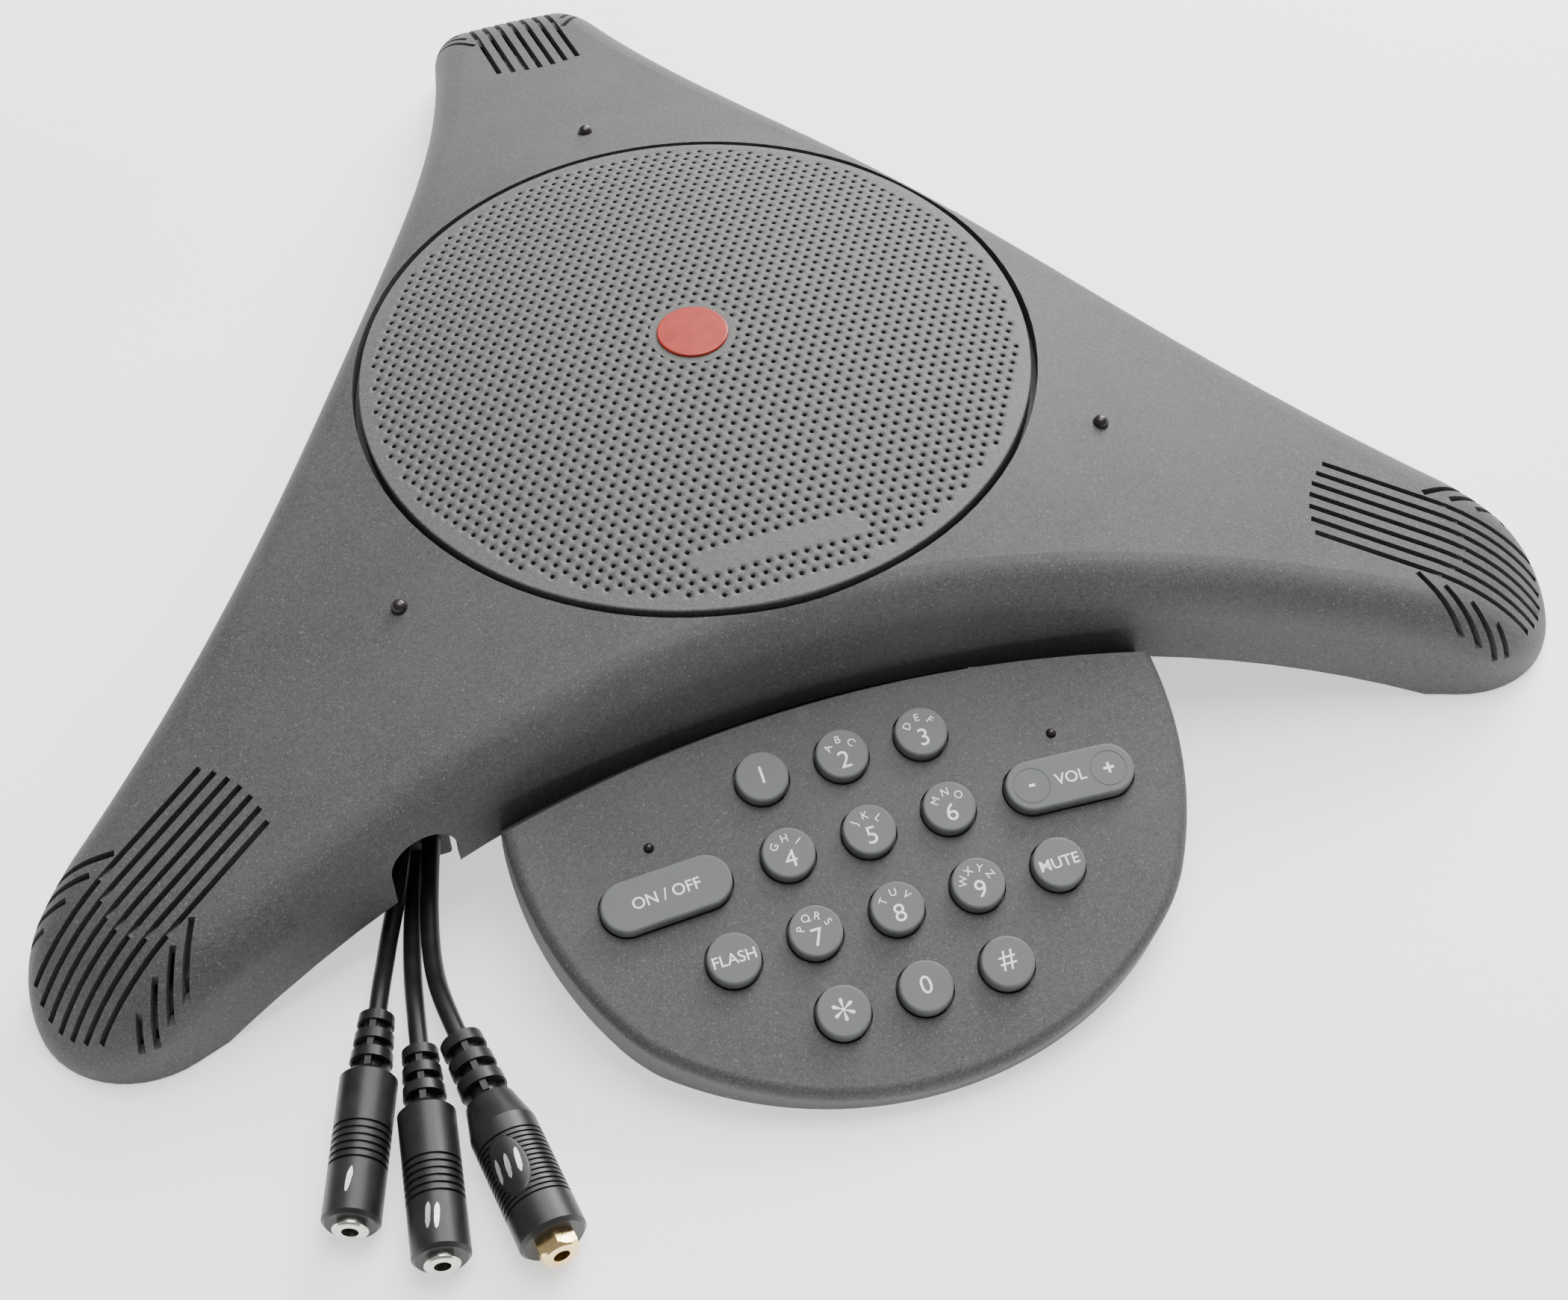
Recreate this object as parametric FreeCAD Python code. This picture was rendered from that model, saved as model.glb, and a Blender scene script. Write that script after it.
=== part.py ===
"""Three-armed conference speakerphone with a keypad and three extension leads.

Millimetres, +Z up.  The shape is drawn about the axis of the round speaker
grille with the table at z = 0: the rear arm points to +Y, the keypad faces -Y.
The finished pieces are then moved along Y so that the origin lies under the
middle of the object's bounding box (leads and their sockets left out).
"""
import FreeCAD, Part
import math
import os

# ---------------------------------------------------------------- driving dimensions
# star-shaped housing
WAIST = 85.5               # grille axis to the middle of each concave side
TIP_DISTANCE = 183.4       # grille axis to the centre of each rounded arm tip
TIP_RADIUS = 23.5          # plan radius of an arm tip
RING_HEIGHT = 57.7         # height of the housing where it meets the grille
RING_RADIUS = 80.0         # where the straight slope of the arms starts
ARM_SLOPE = 16.5           # degrees, fall of the arms from the grille outwards
NOSE_START = 176.0         # distance at which the arm starts to curve down
NOSE_RADIUS = 52.0
SHOULDER_RADIUS = 10.5     # rounding between the top and the side walls
WALL = 2.5
RIM_CLEARANCE = 0.8        # housing rim above the table
ARCH_HEIGHT = 29.0         # rim above the table at the middle of a side
ARCH_RADIUS = 378.0
LEAD_NOTCH_X = -93.0       # middle of the arch for the leads
LEAD_NOTCH_WIDTH = 15.5
LEAD_NOTCH_TOP = 32.5
# slots over the microphones
SLOT_PITCH = 3.73
SLOT_WIDTH = 1.5
SLOTS_EACH_SIDE = 3        # beside the middle slot of each arm
SLOT_INNER = 146.2
SLOT_INNER_FALL = 0.018    # outer slots start further out, by this times offset squared
SLOT_BRIDGE_IN = 181.2     # each slot is split by a narrow bridge
SLOT_BRIDGE_IN_FALL = 0.050
SLOT_BRIDGE_OUT = 184.1
SLOT_BRIDGE_OUT_FALL = 0.043
SLOT_OUTER = 204.2
SLOT_OUTER_FALL = 0.025
SLOT_FLOOR = 4.0
SLOT_BRIDGE_SINK = 0.7     # the bridge lies this far below the surface
FLANK_SLOT_TOP = (172.9, 12.9)      # inner end of the first flank slot: out, across
FLANK_SLOT_STEP = (6.6, 1.03)
FLANK_SLOT_ANGLE = 38.0             # degrees, away from the arm's direction
FLANK_SLOT_FLOORS = (19.8, 16.3, 11.8, 11.2)
# speaker and grille
GRILLE_RADIUS = 79.2
GRILLE_GAP = 1.6
GRILLE_RISE = 8.6
GRILLE_THICKNESS = 2.0
BAFFLE_TOP = 52.0
BAFFLE_THICKNESS = 2.5
SPEAKER_OPENING = 46.0
BADGE_RADIUS = 8.4
BADGE_PROUD = 0.6
BADGE_RECESS = 0.8
SPEAKER_FLANGE_RADIUS = 56.0
MAGNET_RADIUS = 30.0
MAGNET_BOTTOM = 13.0
# lights
LIGHT_DISTANCE = 96.4
LIGHT_RADIUS = 1.85
KEY_LIGHT_RADIUS = 1.0
FIT = 0.15                 # radial clearance of small parts in their holes
# base
BASE_WAIST = 54.0
BASE_TIP_RADIUS = 19.8
BASE_BOTTOM = 4.0
BASE_FLOOR = 2.5
BASE_WALL = 2.2
BASE_WALL_TOP = 22.0
NECK_HALF_WIDTH = 40.0         # neck from the tray to the keypad
NECK_TOP = 15.5
NECK_THICKNESS = 3.0
NECK_OVERLAP = 22.3            # how far the neck runs under the keypad from the panel's rear edge
BOARD_REACH = 80.0
FOOT_RADIUS = 9.0
BOSS_RADIUS = 3.6
BOSS_DISTANCE = 120.0
BOSS_OFFSET = 9.0
SCREW_RADIUS = 1.25
SCREW_HEAD_RADIUS = 2.8
SCREW_HEAD = 1.8
SCREW_LENGTH = 14.0
# keypad: u to the right, v up the slope, w out of the panel; v = 0 at the lowest row
PANEL_TILT = 16.5          # degrees
PANEL_ORIGIN_Y = -156.6
PANEL_ORIGIN_Z = 13.6
PANEL_FRONT = -20.8        # v of the front edge
PANEL_FRONT_RADIUS = 84.0
PANEL_HALF_WIDTH = 76.0
PANEL_SIDE_RADIUS = 86.0
PANEL_WIDEST = 54.0        # v at which the panel is widest
PANEL_CORNER_RADIUS = 40.0
PANEL_EDGE_RADIUS = 2.6
PANEL_THICKNESS = 2.2
PANEL_DEPTH = 14.0
PANEL_REAR = 89.7          # grille axis to the panel's rear edge
PANEL_REAR_RADIUS = 245.0
PANEL_REAR_SLOPE = 50.0    # degrees, bevel from the rear edge down to the wall
PANEL_REAR_RIB = 4.0
PANEL_GAP = 0.3
KEY_PITCH = 18.5
KEY_RADIUS = 5.85
KEY_PROUD = 2.7
KEY_GAP = 0.5
KEY_FLANGE = 1.2
KEY_FLANGE_THICKNESS = 1.2
KEY_FLANGE_GAP = 0.3       # flange below the panel's underside
ROCKER_FLANGE_GAP = 0.9    # the same for the volume key, which tips
KEY_TRAVEL = 1.5
PRESSED_CLEARANCE = 0.4    # what stays free under a pressed key
KEY_SOFT_EDGE = 0.6
ROCKER_PIN_RADIUS = 0.8    # the volume key rocks on a pin under the panel
ROCKER_PIN_DROP = 1.7      # pin centre below the panel's underside
ROCKER_PIN_REACH = 9.6
ROCKER_LUG = 1.9           # thickness of the two lugs that carry the pin
ROCKER_LUG_HALF_WIDTH = 2.0
ROCKER_LUG_DEPTH = 3.2
BAR_KEY_LENGTH = 29.4
BAR_KEY_CENTRE = (46.4, 35.8)
BAR_KEY_ANGLE = 3.0        # degrees, outer ends lower
ROUND_SIDE_KEY = (37.0, 17.8)
KEY_LIGHT = (46.7, 47.6)
MEMBRANE_THICKNESS = 1.0
BOARD_THICKNESS = 1.6
PANEL_SCREWS = ((69.0, 50.0), (60.5, 15.0))
PANEL_BOSS_RADIUS = 3.0
# leads: slim, slim and stout
SLIM_LEAD = 4.1
STOUT_LEAD = 4.25
LEAD_ROUTES = {
    "lead_a": (SLIM_LEAD, [(-95.9, -77.0, 7.6), (-98.2, -83.6, 6.8), (-101.2, -90.9, 4.9), (-104.5, -98.2, 3.9),
                           (-106.9, -105.2, 4.7), (-109.3, -112.2, 6.2), (-111.75, -119.3, 6.2)]),
    "lead_b": (SLIM_LEAD, [(-93.2, -76.5, 3.6), (-96.2, -86.5, 3.0), (-99.2, -97.0, 2.5),
                           (-101.7, -108.5, 3.6), (-103.4, -119.9, 6.3), (-105.0, -130.8, 6.3)]),
    "lead_c": (STOUT_LEAD, [(-89.2, -77.0, 7.6), (-92.4, -87.6, 6.6), (-95.3, -98.6, 5.0),
                            (-97.2, -109.8, 4.9), (-97.4, -121.4, 7.3), (-96.1, -131.9, 7.3)]),
}
SLIM_SOCKET = {"boot": 14.6, "boot_start": 3.9, "boot_end": 4.8, "body": 35.0, "radius": 6.2,
               "neck": 6.2, "taper": 0.0, "collar": 3.8, "collar_out": 1.5}
STOUT_SOCKET = {"boot": 16.9, "boot_start": 4.75, "boot_end": 5.3, "body": 35.4, "radius": 7.3,
                "neck": 5.4, "taper": 7.6, "collar": 4.6, "collar_out": 3.8}
SOCKET_BORE = 1.8
SOCKET_DEPTH = 14.0
SLEEVE_RADIUS = 2.7
CLAMP_FRONT = -78.0
CLAMP_DEPTH = 12.0
CLAMP_BOTTOM = 1.2
CLAMP_HEIGHT = 10.8
CLAMP_MARGIN = 4.0

MEMBRANE_TOP = -(PANEL_THICKNESS + KEY_FLANGE_GAP + KEY_FLANGE_THICKNESS + KEY_TRAVEL + PRESSED_CLEARANCE)
BOARD_BOTTOM = MEMBRANE_TOP - MEMBRANE_THICKNESS - BOARD_THICKNESS

# ---------------------------------------------------------------- small helpers
UP = FreeCAD.Vector(0, 0, 1)
SLOPE = math.radians(ARM_SLOPE)
TILT = math.radians(PANEL_TILT)
ARM_ANGLES = {"rear": 90.0, "left": 210.0, "right": 330.0}
SIDE_ANGLES = (30.0, 150.0, 270.0)


def vec(x, y, z=0.0):
    return FreeCAD.Vector(x, y, z)


def polar(radius, angle, across=0.0, z=0.0):
    """A point out along a direction (degrees) and across it."""
    a = math.radians(angle)
    return vec(radius * math.cos(a) - across * math.sin(a), radius * math.sin(a) + across * math.cos(a), z)


def disc(radius, bottom, top, centre=vec(0, 0)):
    return Part.makeCylinder(radius, top - bottom, vec(centre.x, centre.y, bottom))


def ring(outer, inner, bottom, top, centre=vec(0, 0)):
    return disc(outer, bottom, top, centre).cut(disc(inner, bottom - 1, top + 1, centre))


def revolve(points, centre=vec(0, 0)):
    """Solid of revolution about a vertical axis from (radius, z) corners."""
    wire = Part.makePolygon([vec(r, 0, z) for r, z in points] + [vec(points[0][0], 0, points[0][1])])
    solid = Part.Face(wire).revolve(vec(0, 0), UP, 360)
    solid.translate(centre)
    return solid


def turned(shape, angle):
    """A copy drawn along +X, turned to point along an arm."""
    copy = shape.copy()
    copy.rotate(vec(0, 0), UP, angle)
    return copy


def on_panel(shape):
    """A copy drawn in keypad coordinates, put in its place."""
    copy = shape.copy()
    copy.rotate(vec(0, 0), vec(1, 0, 0), PANEL_TILT)
    copy.translate(vec(0, PANEL_ORIGIN_Y, PANEL_ORIGIN_Z))
    return copy


def box(x0, x1, y0, y1, z0, z1):
    return Part.makeBox(x1 - x0, y1 - y0, z1 - z0, vec(x0, y0, z0))


def above(z):
    return box(-400, 400, -400, 400, z, 400)


def cone_height(radius):
    """Height of the straight arm slope at a distance from the axis."""
    return RING_HEIGHT - (radius - RING_RADIUS) * math.tan(SLOPE)


def nose_centre():
    """Centre of the arc that an arm's nose follows, above the arm's middle line."""
    start = vec(NOSE_START, 0, cone_height(NOSE_START))
    return start - vec(math.sin(SLOPE), 0, math.cos(SLOPE)) * NOSE_RADIUS


def nose_height(radius):
    """Height of the nose at a distance from the axis."""
    return nose_centre().z + math.sqrt(NOSE_RADIUS ** 2 - (radius - nose_centre().x) ** 2)


# ---------------------------------------------------------------- star outline and top surface
def star_prism(waist, tip_radius, bottom, top):
    """Three round tips joined by concave arcs that run tangent into them."""
    half = TIP_DISTANCE * math.sin(math.radians(60))
    drop = waist - TIP_DISTANCE * math.cos(math.radians(60))
    side_radius = (half ** 2 + drop ** 2 - tip_radius ** 2) / (2 * (tip_radius - drop))
    share = side_radius / (side_radius + tip_radius)
    edges = []
    for side in SIDE_ANGLES:
        centre = polar(waist + side_radius, side)
        before, after = polar(TIP_DISTANCE, side - 60), polar(TIP_DISTANCE, side + 60)
        start = centre + (before - centre) * share
        end = centre + (after - centre) * share
        next_centre = polar(waist + side_radius, side + 120)
        tip_end = next_centre + (after - next_centre) * share
        edges.append(Part.Arc(start, polar(waist, side), end).toShape())
        edges.append(Part.Arc(end, polar(TIP_DISTANCE + tip_radius, side + 60), tip_end).toShape())
    face = Part.Face(Part.Wire(edges))
    face.translate(vec(0, 0, bottom))
    return face.extrude(vec(0, 0, top - bottom))


def top_surface(inset):
    """Everything under the straight slope of the arms and their curved noses."""
    apex = vec(0, 0, cone_height(0) - inset / math.cos(SLOPE))
    centre = nose_centre()
    radius = NOSE_RADIUS - inset

    def nose(angle):
        return centre + vec(math.sin(angle), 0, math.cos(angle)) * radius

    last = math.acos(-centre.z / radius)
    edges = [
        Part.LineSegment(apex, nose(SLOPE)).toShape(),
        Part.Arc(nose(SLOPE), nose((SLOPE + last) / 2), nose(last)).toShape(),
        Part.LineSegment(nose(last), vec(0, 0, nose(last).z)).toShape(),
        Part.LineSegment(vec(0, 0, nose(last).z), apex).toShape(),
    ]
    return Part.Face(Part.Wire(edges)).revolve(vec(0, 0), UP, 360)


def body_blank(inset):
    """The housing's solid outer form, or its hollow when inset by the wall."""
    prism = star_prism(WAIST - inset, TIP_RADIUS - inset, RIM_CLEARANCE, 90)
    solid = prism.common(top_surface(inset)).Solids[0]
    shoulder = []
    for face in solid.Faces:
        if isinstance(face.Surface, Part.Cylinder):
            for edge in face.Edges:
                flat = abs(edge.BoundBox.ZMin - RIM_CLEARANCE) < 0.01
                upright = edge.BoundBox.XLength + edge.BoundBox.YLength < 0.01
                if not flat and not upright:
                    shoulder.append(edge)
    return solid.makeFillet(SHOULDER_RADIUS - inset * 0.9, shoulder)


def arch_cutter(side):
    """Removes what lies under the raised rim between two tips."""
    cutter = Part.makeCylinder(ARCH_RADIUS, 70, vec(WAIST - 35, 0, ARCH_HEIGHT - ARCH_RADIUS), vec(1, 0, 0))
    return turned(cutter, side)


# ---------------------------------------------------------------- housing
def slot_cutters():
    """Upright cuts along one arm (drawn along +X): seven long ones and four on each flank."""
    cuts = []
    for k in range(-SLOTS_EACH_SIDE, SLOTS_EACH_SIDE + 1):
        y = k * SLOT_PITCH
        low, high = y - SLOT_WIDTH / 2, y + SLOT_WIDTH / 2
        inner = SLOT_INNER + SLOT_INNER_FALL * y * y
        bridge_in = SLOT_BRIDGE_IN - SLOT_BRIDGE_IN_FALL * y * y
        bridge_out = SLOT_BRIDGE_OUT - SLOT_BRIDGE_OUT_FALL * y * y
        cuts.append(box(inner, bridge_in, low, high, SLOT_FLOOR, 70))
        cuts.append(box(bridge_out, SLOT_OUTER - SLOT_OUTER_FALL * y * y, low, high, SLOT_FLOOR, 70))
        sunk = nose_height(math.hypot(bridge_out, y)) - SLOT_BRIDGE_SINK
        cuts.append(box(bridge_in - 0.5, bridge_out + 0.5, low, high, sunk, 70))
    for i, floor in enumerate(FLANK_SLOT_FLOORS):
        out = FLANK_SLOT_TOP[0] + i * FLANK_SLOT_STEP[0]
        across = FLANK_SLOT_TOP[1] + i * FLANK_SLOT_STEP[1]
        for side in (-1, 1):
            cut = box(0, 40, -SLOT_WIDTH / 2, SLOT_WIDTH / 2, floor, 70)
            cut.rotate(vec(0, 0), UP, FLANK_SLOT_ANGLE * side)
            cut.translate(vec(out, across * side))
            cuts.append(cut)
    return cuts


def boss_places():
    return [polar(BOSS_DISTANCE, angle, BOSS_OFFSET * side) for angle in ARM_ANGLES.values() for side in (-1, 1)]


def speaker_screw_places():
    middle = (SPEAKER_OPENING + SPEAKER_FLANGE_RADIUS) / 2
    return [polar(middle, 45 + 90 * i) for i in range(4)]


def make_top_housing():
    hollow = body_blank(WALL).cut(above(BAFFLE_TOP - BAFFLE_THICKNESS))
    bosses = [disc(BOSS_RADIUS, BASE_BOTTOM + BASE_FLOOR, 90, p) for p in boss_places()]
    shell = body_blank(0.0).cut(hollow.cut(bosses))
    cuts = [disc(GRILLE_RADIUS + GRILLE_GAP, BAFFLE_TOP, 90), disc(SPEAKER_OPENING, 40, 90)]
    cuts += [arch_cutter(side) for side in SIDE_ANGLES]
    pilot_top = BASE_BOTTOM + SCREW_LENGTH
    cuts += [disc(SCREW_RADIUS, 0, pilot_top, p) for p in boss_places()]
    cuts += [disc(SCREW_RADIUS, 40, BAFFLE_TOP - 0.6, p) for p in speaker_screw_places()]
    for angle in ARM_ANGLES.values():
        cuts.append(disc(LIGHT_RADIUS, 40, 70, polar(LIGHT_DISTANCE, angle)))
        cuts += [turned(cut, angle) for cut in slot_cutters()]
    cuts.append(lead_notch())
    return shell.cut(cuts)


def lead_notch():
    """Round-topped opening through the front wall for the three leads."""
    half = LEAD_NOTCH_WIDTH / 2
    spring = LEAD_NOTCH_TOP - half
    opening = box(LEAD_NOTCH_X - half, LEAD_NOTCH_X + half, -110, -82, 0, spring)
    crown = Part.makeCylinder(half, 28, vec(LEAD_NOTCH_X, -110, spring), vec(0, 1, 0))
    return opening.fuse(crown)


def make_base_plate():
    """Set-in tray that closes the housing from below."""
    prism = star_prism(BASE_WAIST, BASE_TIP_RADIUS, BASE_BOTTOM, BASE_WALL_TOP)
    inside = star_prism(BASE_WAIST - BASE_WALL, BASE_TIP_RADIUS - BASE_WALL,
                        BASE_BOTTOM + BASE_FLOOR, BASE_WALL_TOP + 1)
    tray = prism.common(body_blank(WALL + 0.5)).cut(inside)
    holes = [disc(SCREW_RADIUS, 0, 10, p) for p in boss_places()]
    return tray.cut(holes)


def make_screws(places, underside, length):
    screws = []
    for place in places:
        head = disc(SCREW_HEAD_RADIUS, underside - SCREW_HEAD, underside, place)
        head = head.makeFillet(0.7, [e for e in head.Edges if e.BoundBox.ZMax < underside - SCREW_HEAD + 0.1])
        shank = disc(SCREW_RADIUS, underside, underside + length, place)
        socket = Part.makePolygon([place + vec(1.2 * math.cos(a), 1.2 * math.sin(a), underside - SCREW_HEAD)
                                   for a in [math.radians(60 * k) for k in range(7)]])
        recess = Part.Face(socket).extrude(vec(0, 0, 1.0))
        screws.append(head.fuse(shank).cut(recess))
    return Part.makeCompound(screws)


def make_rubber_feet():
    feet = [disc(FOOT_RADIUS, 0, BASE_BOTTOM, polar(TIP_DISTANCE, angle)) for angle in ARM_ANGLES.values()]
    feet = [f.makeFillet(1.2, [e for e in f.Edges if e.BoundBox.ZMax < 0.1]) for f in feet]
    feet += [disc(5.0, 0, RIM_CLEARANCE, vec(x, PANEL_ORIGIN_Y + 2)) for x in (-34, 34)]
    return Part.makeCompound(feet)


# ---------------------------------------------------------------- speaker
def dome_cap(radius, inset, floor):
    """A round block whose top is the grille's dome, set in by some depth."""
    dome_radius = (RING_RADIUS ** 2 + GRILLE_RISE ** 2) / (2 * GRILLE_RISE)
    centre = vec(0, 0, RING_HEIGHT + GRILLE_RISE - dome_radius)
    return disc(radius, floor, 90).common(Part.makeSphere(dome_radius - inset, centre))


def make_speaker_grille():
    cap = dome_cap(GRILLE_RADIUS, 0.0, BAFFLE_TOP)
    cap = cap.makeFillet(0.5, [e for e in cap.Edges if e.BoundBox.ZMin > BAFFLE_TOP + 2 and e.Closed])
    hollow = dome_cap(GRILLE_RADIUS - GRILLE_THICKNESS, GRILLE_THICKNESS, BAFFLE_TOP - 1)
    apex = RING_HEIGHT + GRILLE_RISE
    return cap.cut([hollow, disc(BADGE_RADIUS + 0.3, apex - BADGE_RECESS, apex + 5)])


def make_grille_badge():
    apex = RING_HEIGHT + GRILLE_RISE
    badge = disc(BADGE_RADIUS, apex - BADGE_RECESS, apex + BADGE_PROUD)
    return badge.makeFillet(0.4, [e for e in badge.Edges if e.BoundBox.ZMin > apex])


GASKET_TOP = BAFFLE_TOP - BAFFLE_THICKNESS
FLANGE_TOP = GASKET_TOP - 1.5
FLANGE_BOTTOM = FLANGE_TOP - 2.0
MAGNET_TOP = MAGNET_BOTTOM + 12.0
CONE_RADIUS = SPEAKER_OPENING - 3.0


def make_speaker_gasket():
    gasket = ring(SPEAKER_FLANGE_RADIUS, SPEAKER_OPENING, FLANGE_TOP, GASKET_TOP)
    return gasket.cut([disc(SCREW_RADIUS, 0, 90, p) for p in speaker_screw_places()])


def make_speaker_basket():
    flange = ring(SPEAKER_FLANGE_RADIUS, CONE_RADIUS, FLANGE_BOTTOM, FLANGE_TOP)
    legs = revolve([(CONE_RADIUS + 1, FLANGE_BOTTOM), (CONE_RADIUS + 3, FLANGE_BOTTOM),
                    (MAGNET_RADIUS - 2, MAGNET_TOP), (MAGNET_RADIUS - 4, MAGNET_TOP)])
    plate = ring(MAGNET_RADIUS - 2, 13.0, MAGNET_TOP, MAGNET_TOP + 2)
    windows = [turned(box(0, 60, -13, 13, MAGNET_TOP + 4, FLANGE_BOTTOM - 2), 90 * i) for i in range(4)]
    basket = flange.fuse([legs.cut(windows), plate])
    return basket.cut([disc(SCREW_RADIUS, 0, 90, p) for p in speaker_screw_places()])


def make_speaker_cone():
    skin = revolve([(CONE_RADIUS, FLANGE_TOP), (CONE_RADIUS, FLANGE_TOP - 1.2), (15, 33.5), (15, 30),
                    (0, 30), (0, 31.2), (13.6, 31.2), (13.6, 34.6), (CONE_RADIUS - 1.6, FLANGE_TOP)])
    cap = Part.makeSphere(20, vec(0, 0, 16)).cut(Part.makeSphere(19, vec(0, 0, 16))).common(above(31.2))
    return skin.fuse(cap.common(disc(13.6, 30, 50)))


def make_speaker_magnet():
    magnet = disc(MAGNET_RADIUS, MAGNET_BOTTOM, MAGNET_TOP)
    return magnet.makeFillet(1.5, [e for e in magnet.Edges if e.Closed and e.BoundBox.ZLength < 0.1])


# ---------------------------------------------------------------- electronics and lights
MICROPHONE_DISTANCE = TIP_DISTANCE - 4.0
FLOOR_TOP = BASE_BOTTOM + BASE_FLOOR


def make_microphone_boot(angle):
    place = polar(MICROPHONE_DISTANCE, angle)
    return disc(7.0, FLOOR_TOP, FLOOR_TOP + 8.0, place).cut(disc(4.9, FLOOR_TOP + 2.0, FLOOR_TOP + 9, place))


def make_microphone(angle):
    place = polar(MICROPHONE_DISTANCE, angle)
    can = disc(4.9, FLOOR_TOP + 2.0, FLOOR_TOP + 8.6, place)
    ports = [disc(0.5, FLOOR_TOP + 8.0, FLOOR_TOP + 9, place + polar(2.2, 120 * k)) for k in range(3)]
    return can.cut(ports)


def make_status_light(angle):
    """Smoked lens: a small dome on a stem that passes through the housing."""
    place = polar(LIGHT_DISTANCE, angle)
    surface = cone_height(LIGHT_DISTANCE)
    stem = disc(LIGHT_RADIUS, surface - 7.0, surface + 0.2, place)
    dome = Part.makeSphere(LIGHT_RADIUS, place + vec(0, 0, surface + 0.2))
    collar = disc(LIGHT_RADIUS + 1.2, surface - 7.0, surface - 5.0, place)
    return stem.fuse([dome, collar])


def make_main_board():
    """Star-shaped circuit board on pillars, with its larger components out on the arms."""
    top = FLOOR_TOP + 3.0
    inset = BASE_WALL + 1.5
    blank = star_prism(BASE_WAIST - inset, BASE_TIP_RADIUS - inset, top, top + BOARD_THICKNESS)
    board = blank.common(disc(BOARD_REACH, 0, 90))
    parts = []
    for i, angle in enumerate(ARM_ANGLES.values()):
        parts.append(disc(3.0, FLOOR_TOP, top, polar(BOARD_REACH - 8, angle)))
        chip = box(44, 58, -9, 5, top + BOARD_THICKNESS, top + BOARD_THICKNESS + 2.4 + i)
        can = disc(4.0, top + BOARD_THICKNESS, top + BOARD_THICKNESS + 10, vec(52, 13))
        parts += [turned(chip, angle), turned(can, angle)]
    return board.fuse(parts)


# ---------------------------------------------------------------- keypad
def panel_outline(inset, bottom, top):
    """Half-moon block in keypad coordinates, open-ended at the rear."""
    front = Part.makeCylinder(PANEL_FRONT_RADIUS - inset, top - bottom,
                              vec(0, PANEL_FRONT + PANEL_FRONT_RADIUS, bottom))
    side_centre = PANEL_SIDE_RADIUS - PANEL_HALF_WIDTH
    right = Part.makeCylinder(PANEL_SIDE_RADIUS - inset, top - bottom, vec(-side_centre, PANEL_WIDEST, bottom))
    left = Part.makeCylinder(PANEL_SIDE_RADIUS - inset, top - bottom, vec(side_centre, PANEL_WIDEST, bottom))
    block = front.common(right).common(left)
    corners = []
    for edge in block.Edges:
        upright = edge.BoundBox.XLength + edge.BoundBox.YLength < 0.01
        if upright and edge.CenterOfMass.y < PANEL_WIDEST and abs(edge.CenterOfMass.x) > 10:
            corners.append(edge)
    return block.makeFillet(PANEL_CORNER_RADIUS - inset, corners)


def rear_zone(gap):
    """What lies in front of the panel's rear rib, less a gap."""
    return disc(PANEL_REAR_RADIUS - PANEL_REAR_RIB - gap, -10, 100, vec(0, -(PANEL_REAR + PANEL_REAR_RADIUS)))


def rear_bevel():
    """Removes what stands above the bevel from the panel's rear edge to the housing wall."""
    axis = vec(0, -(PANEL_REAR + PANEL_REAR_RADIUS))
    edge_z = PANEL_ORIGIN_Z + (-PANEL_REAR - PANEL_ORIGIN_Y) * math.tan(TILT)
    far = 60.0
    drop = far * math.tan(math.radians(PANEL_REAR_SLOPE))
    points = [(PANEL_REAR_RADIUS - 3, edge_z + 3 * math.tan(math.radians(PANEL_REAR_SLOPE))),
              (PANEL_REAR_RADIUS + far, edge_z - drop), (PANEL_REAR_RADIUS + far, 90), (PANEL_REAR_RADIUS - 3, 90)]
    return revolve(points, axis)


def key_prism(length, radius, bottom, top):
    """Round when the length equals the diameter, else a bar with round ends."""
    if length <= 2 * radius:
        return disc(radius, bottom, top)
    half = length / 2 - radius
    edges = [
        Part.LineSegment(vec(-half, -radius), vec(half, -radius)).toShape(),
        Part.Arc(vec(half, -radius), vec(half + radius, 0), vec(half, radius)).toShape(),
        Part.LineSegment(vec(half, radius), vec(-half, radius)).toShape(),
        Part.Arc(vec(-half, radius), vec(-half - radius, 0), vec(-half, -radius)).toShape(),
    ]
    face = Part.Face(Part.Wire(edges))
    face.translate(vec(0, 0, bottom))
    return face.extrude(vec(0, 0, top - bottom))


def key_places():
    """Name of each key with its centre, length and angle in the panel."""
    round_length = 2 * KEY_RADIUS
    rows = ("star 0 hash", "7 8 9", "4 5 6", "1 2 3")
    places = {}
    for row, names in enumerate(rows):
        for column, name in enumerate(names.split()):
            places["key_" + name] = ((column - 1) * KEY_PITCH, row * KEY_PITCH, round_length, 0.0)
    places["key_flash"] = (-ROUND_SIDE_KEY[0], ROUND_SIDE_KEY[1], round_length, 0.0)
    places["key_mute"] = (ROUND_SIDE_KEY[0], ROUND_SIDE_KEY[1], round_length, 0.0)
    places["key_on_off"] = (-BAR_KEY_CENTRE[0], BAR_KEY_CENTRE[1], BAR_KEY_LENGTH, BAR_KEY_ANGLE)
    places["volume_rocker"] = (BAR_KEY_CENTRE[0], BAR_KEY_CENTRE[1], BAR_KEY_LENGTH, -BAR_KEY_ANGLE)
    return places


def placed_key(shape, place):
    copy = shape.copy()
    copy.rotate(vec(0, 0), UP, place[3])
    copy.translate(vec(place[0], place[1]))
    return copy


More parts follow.
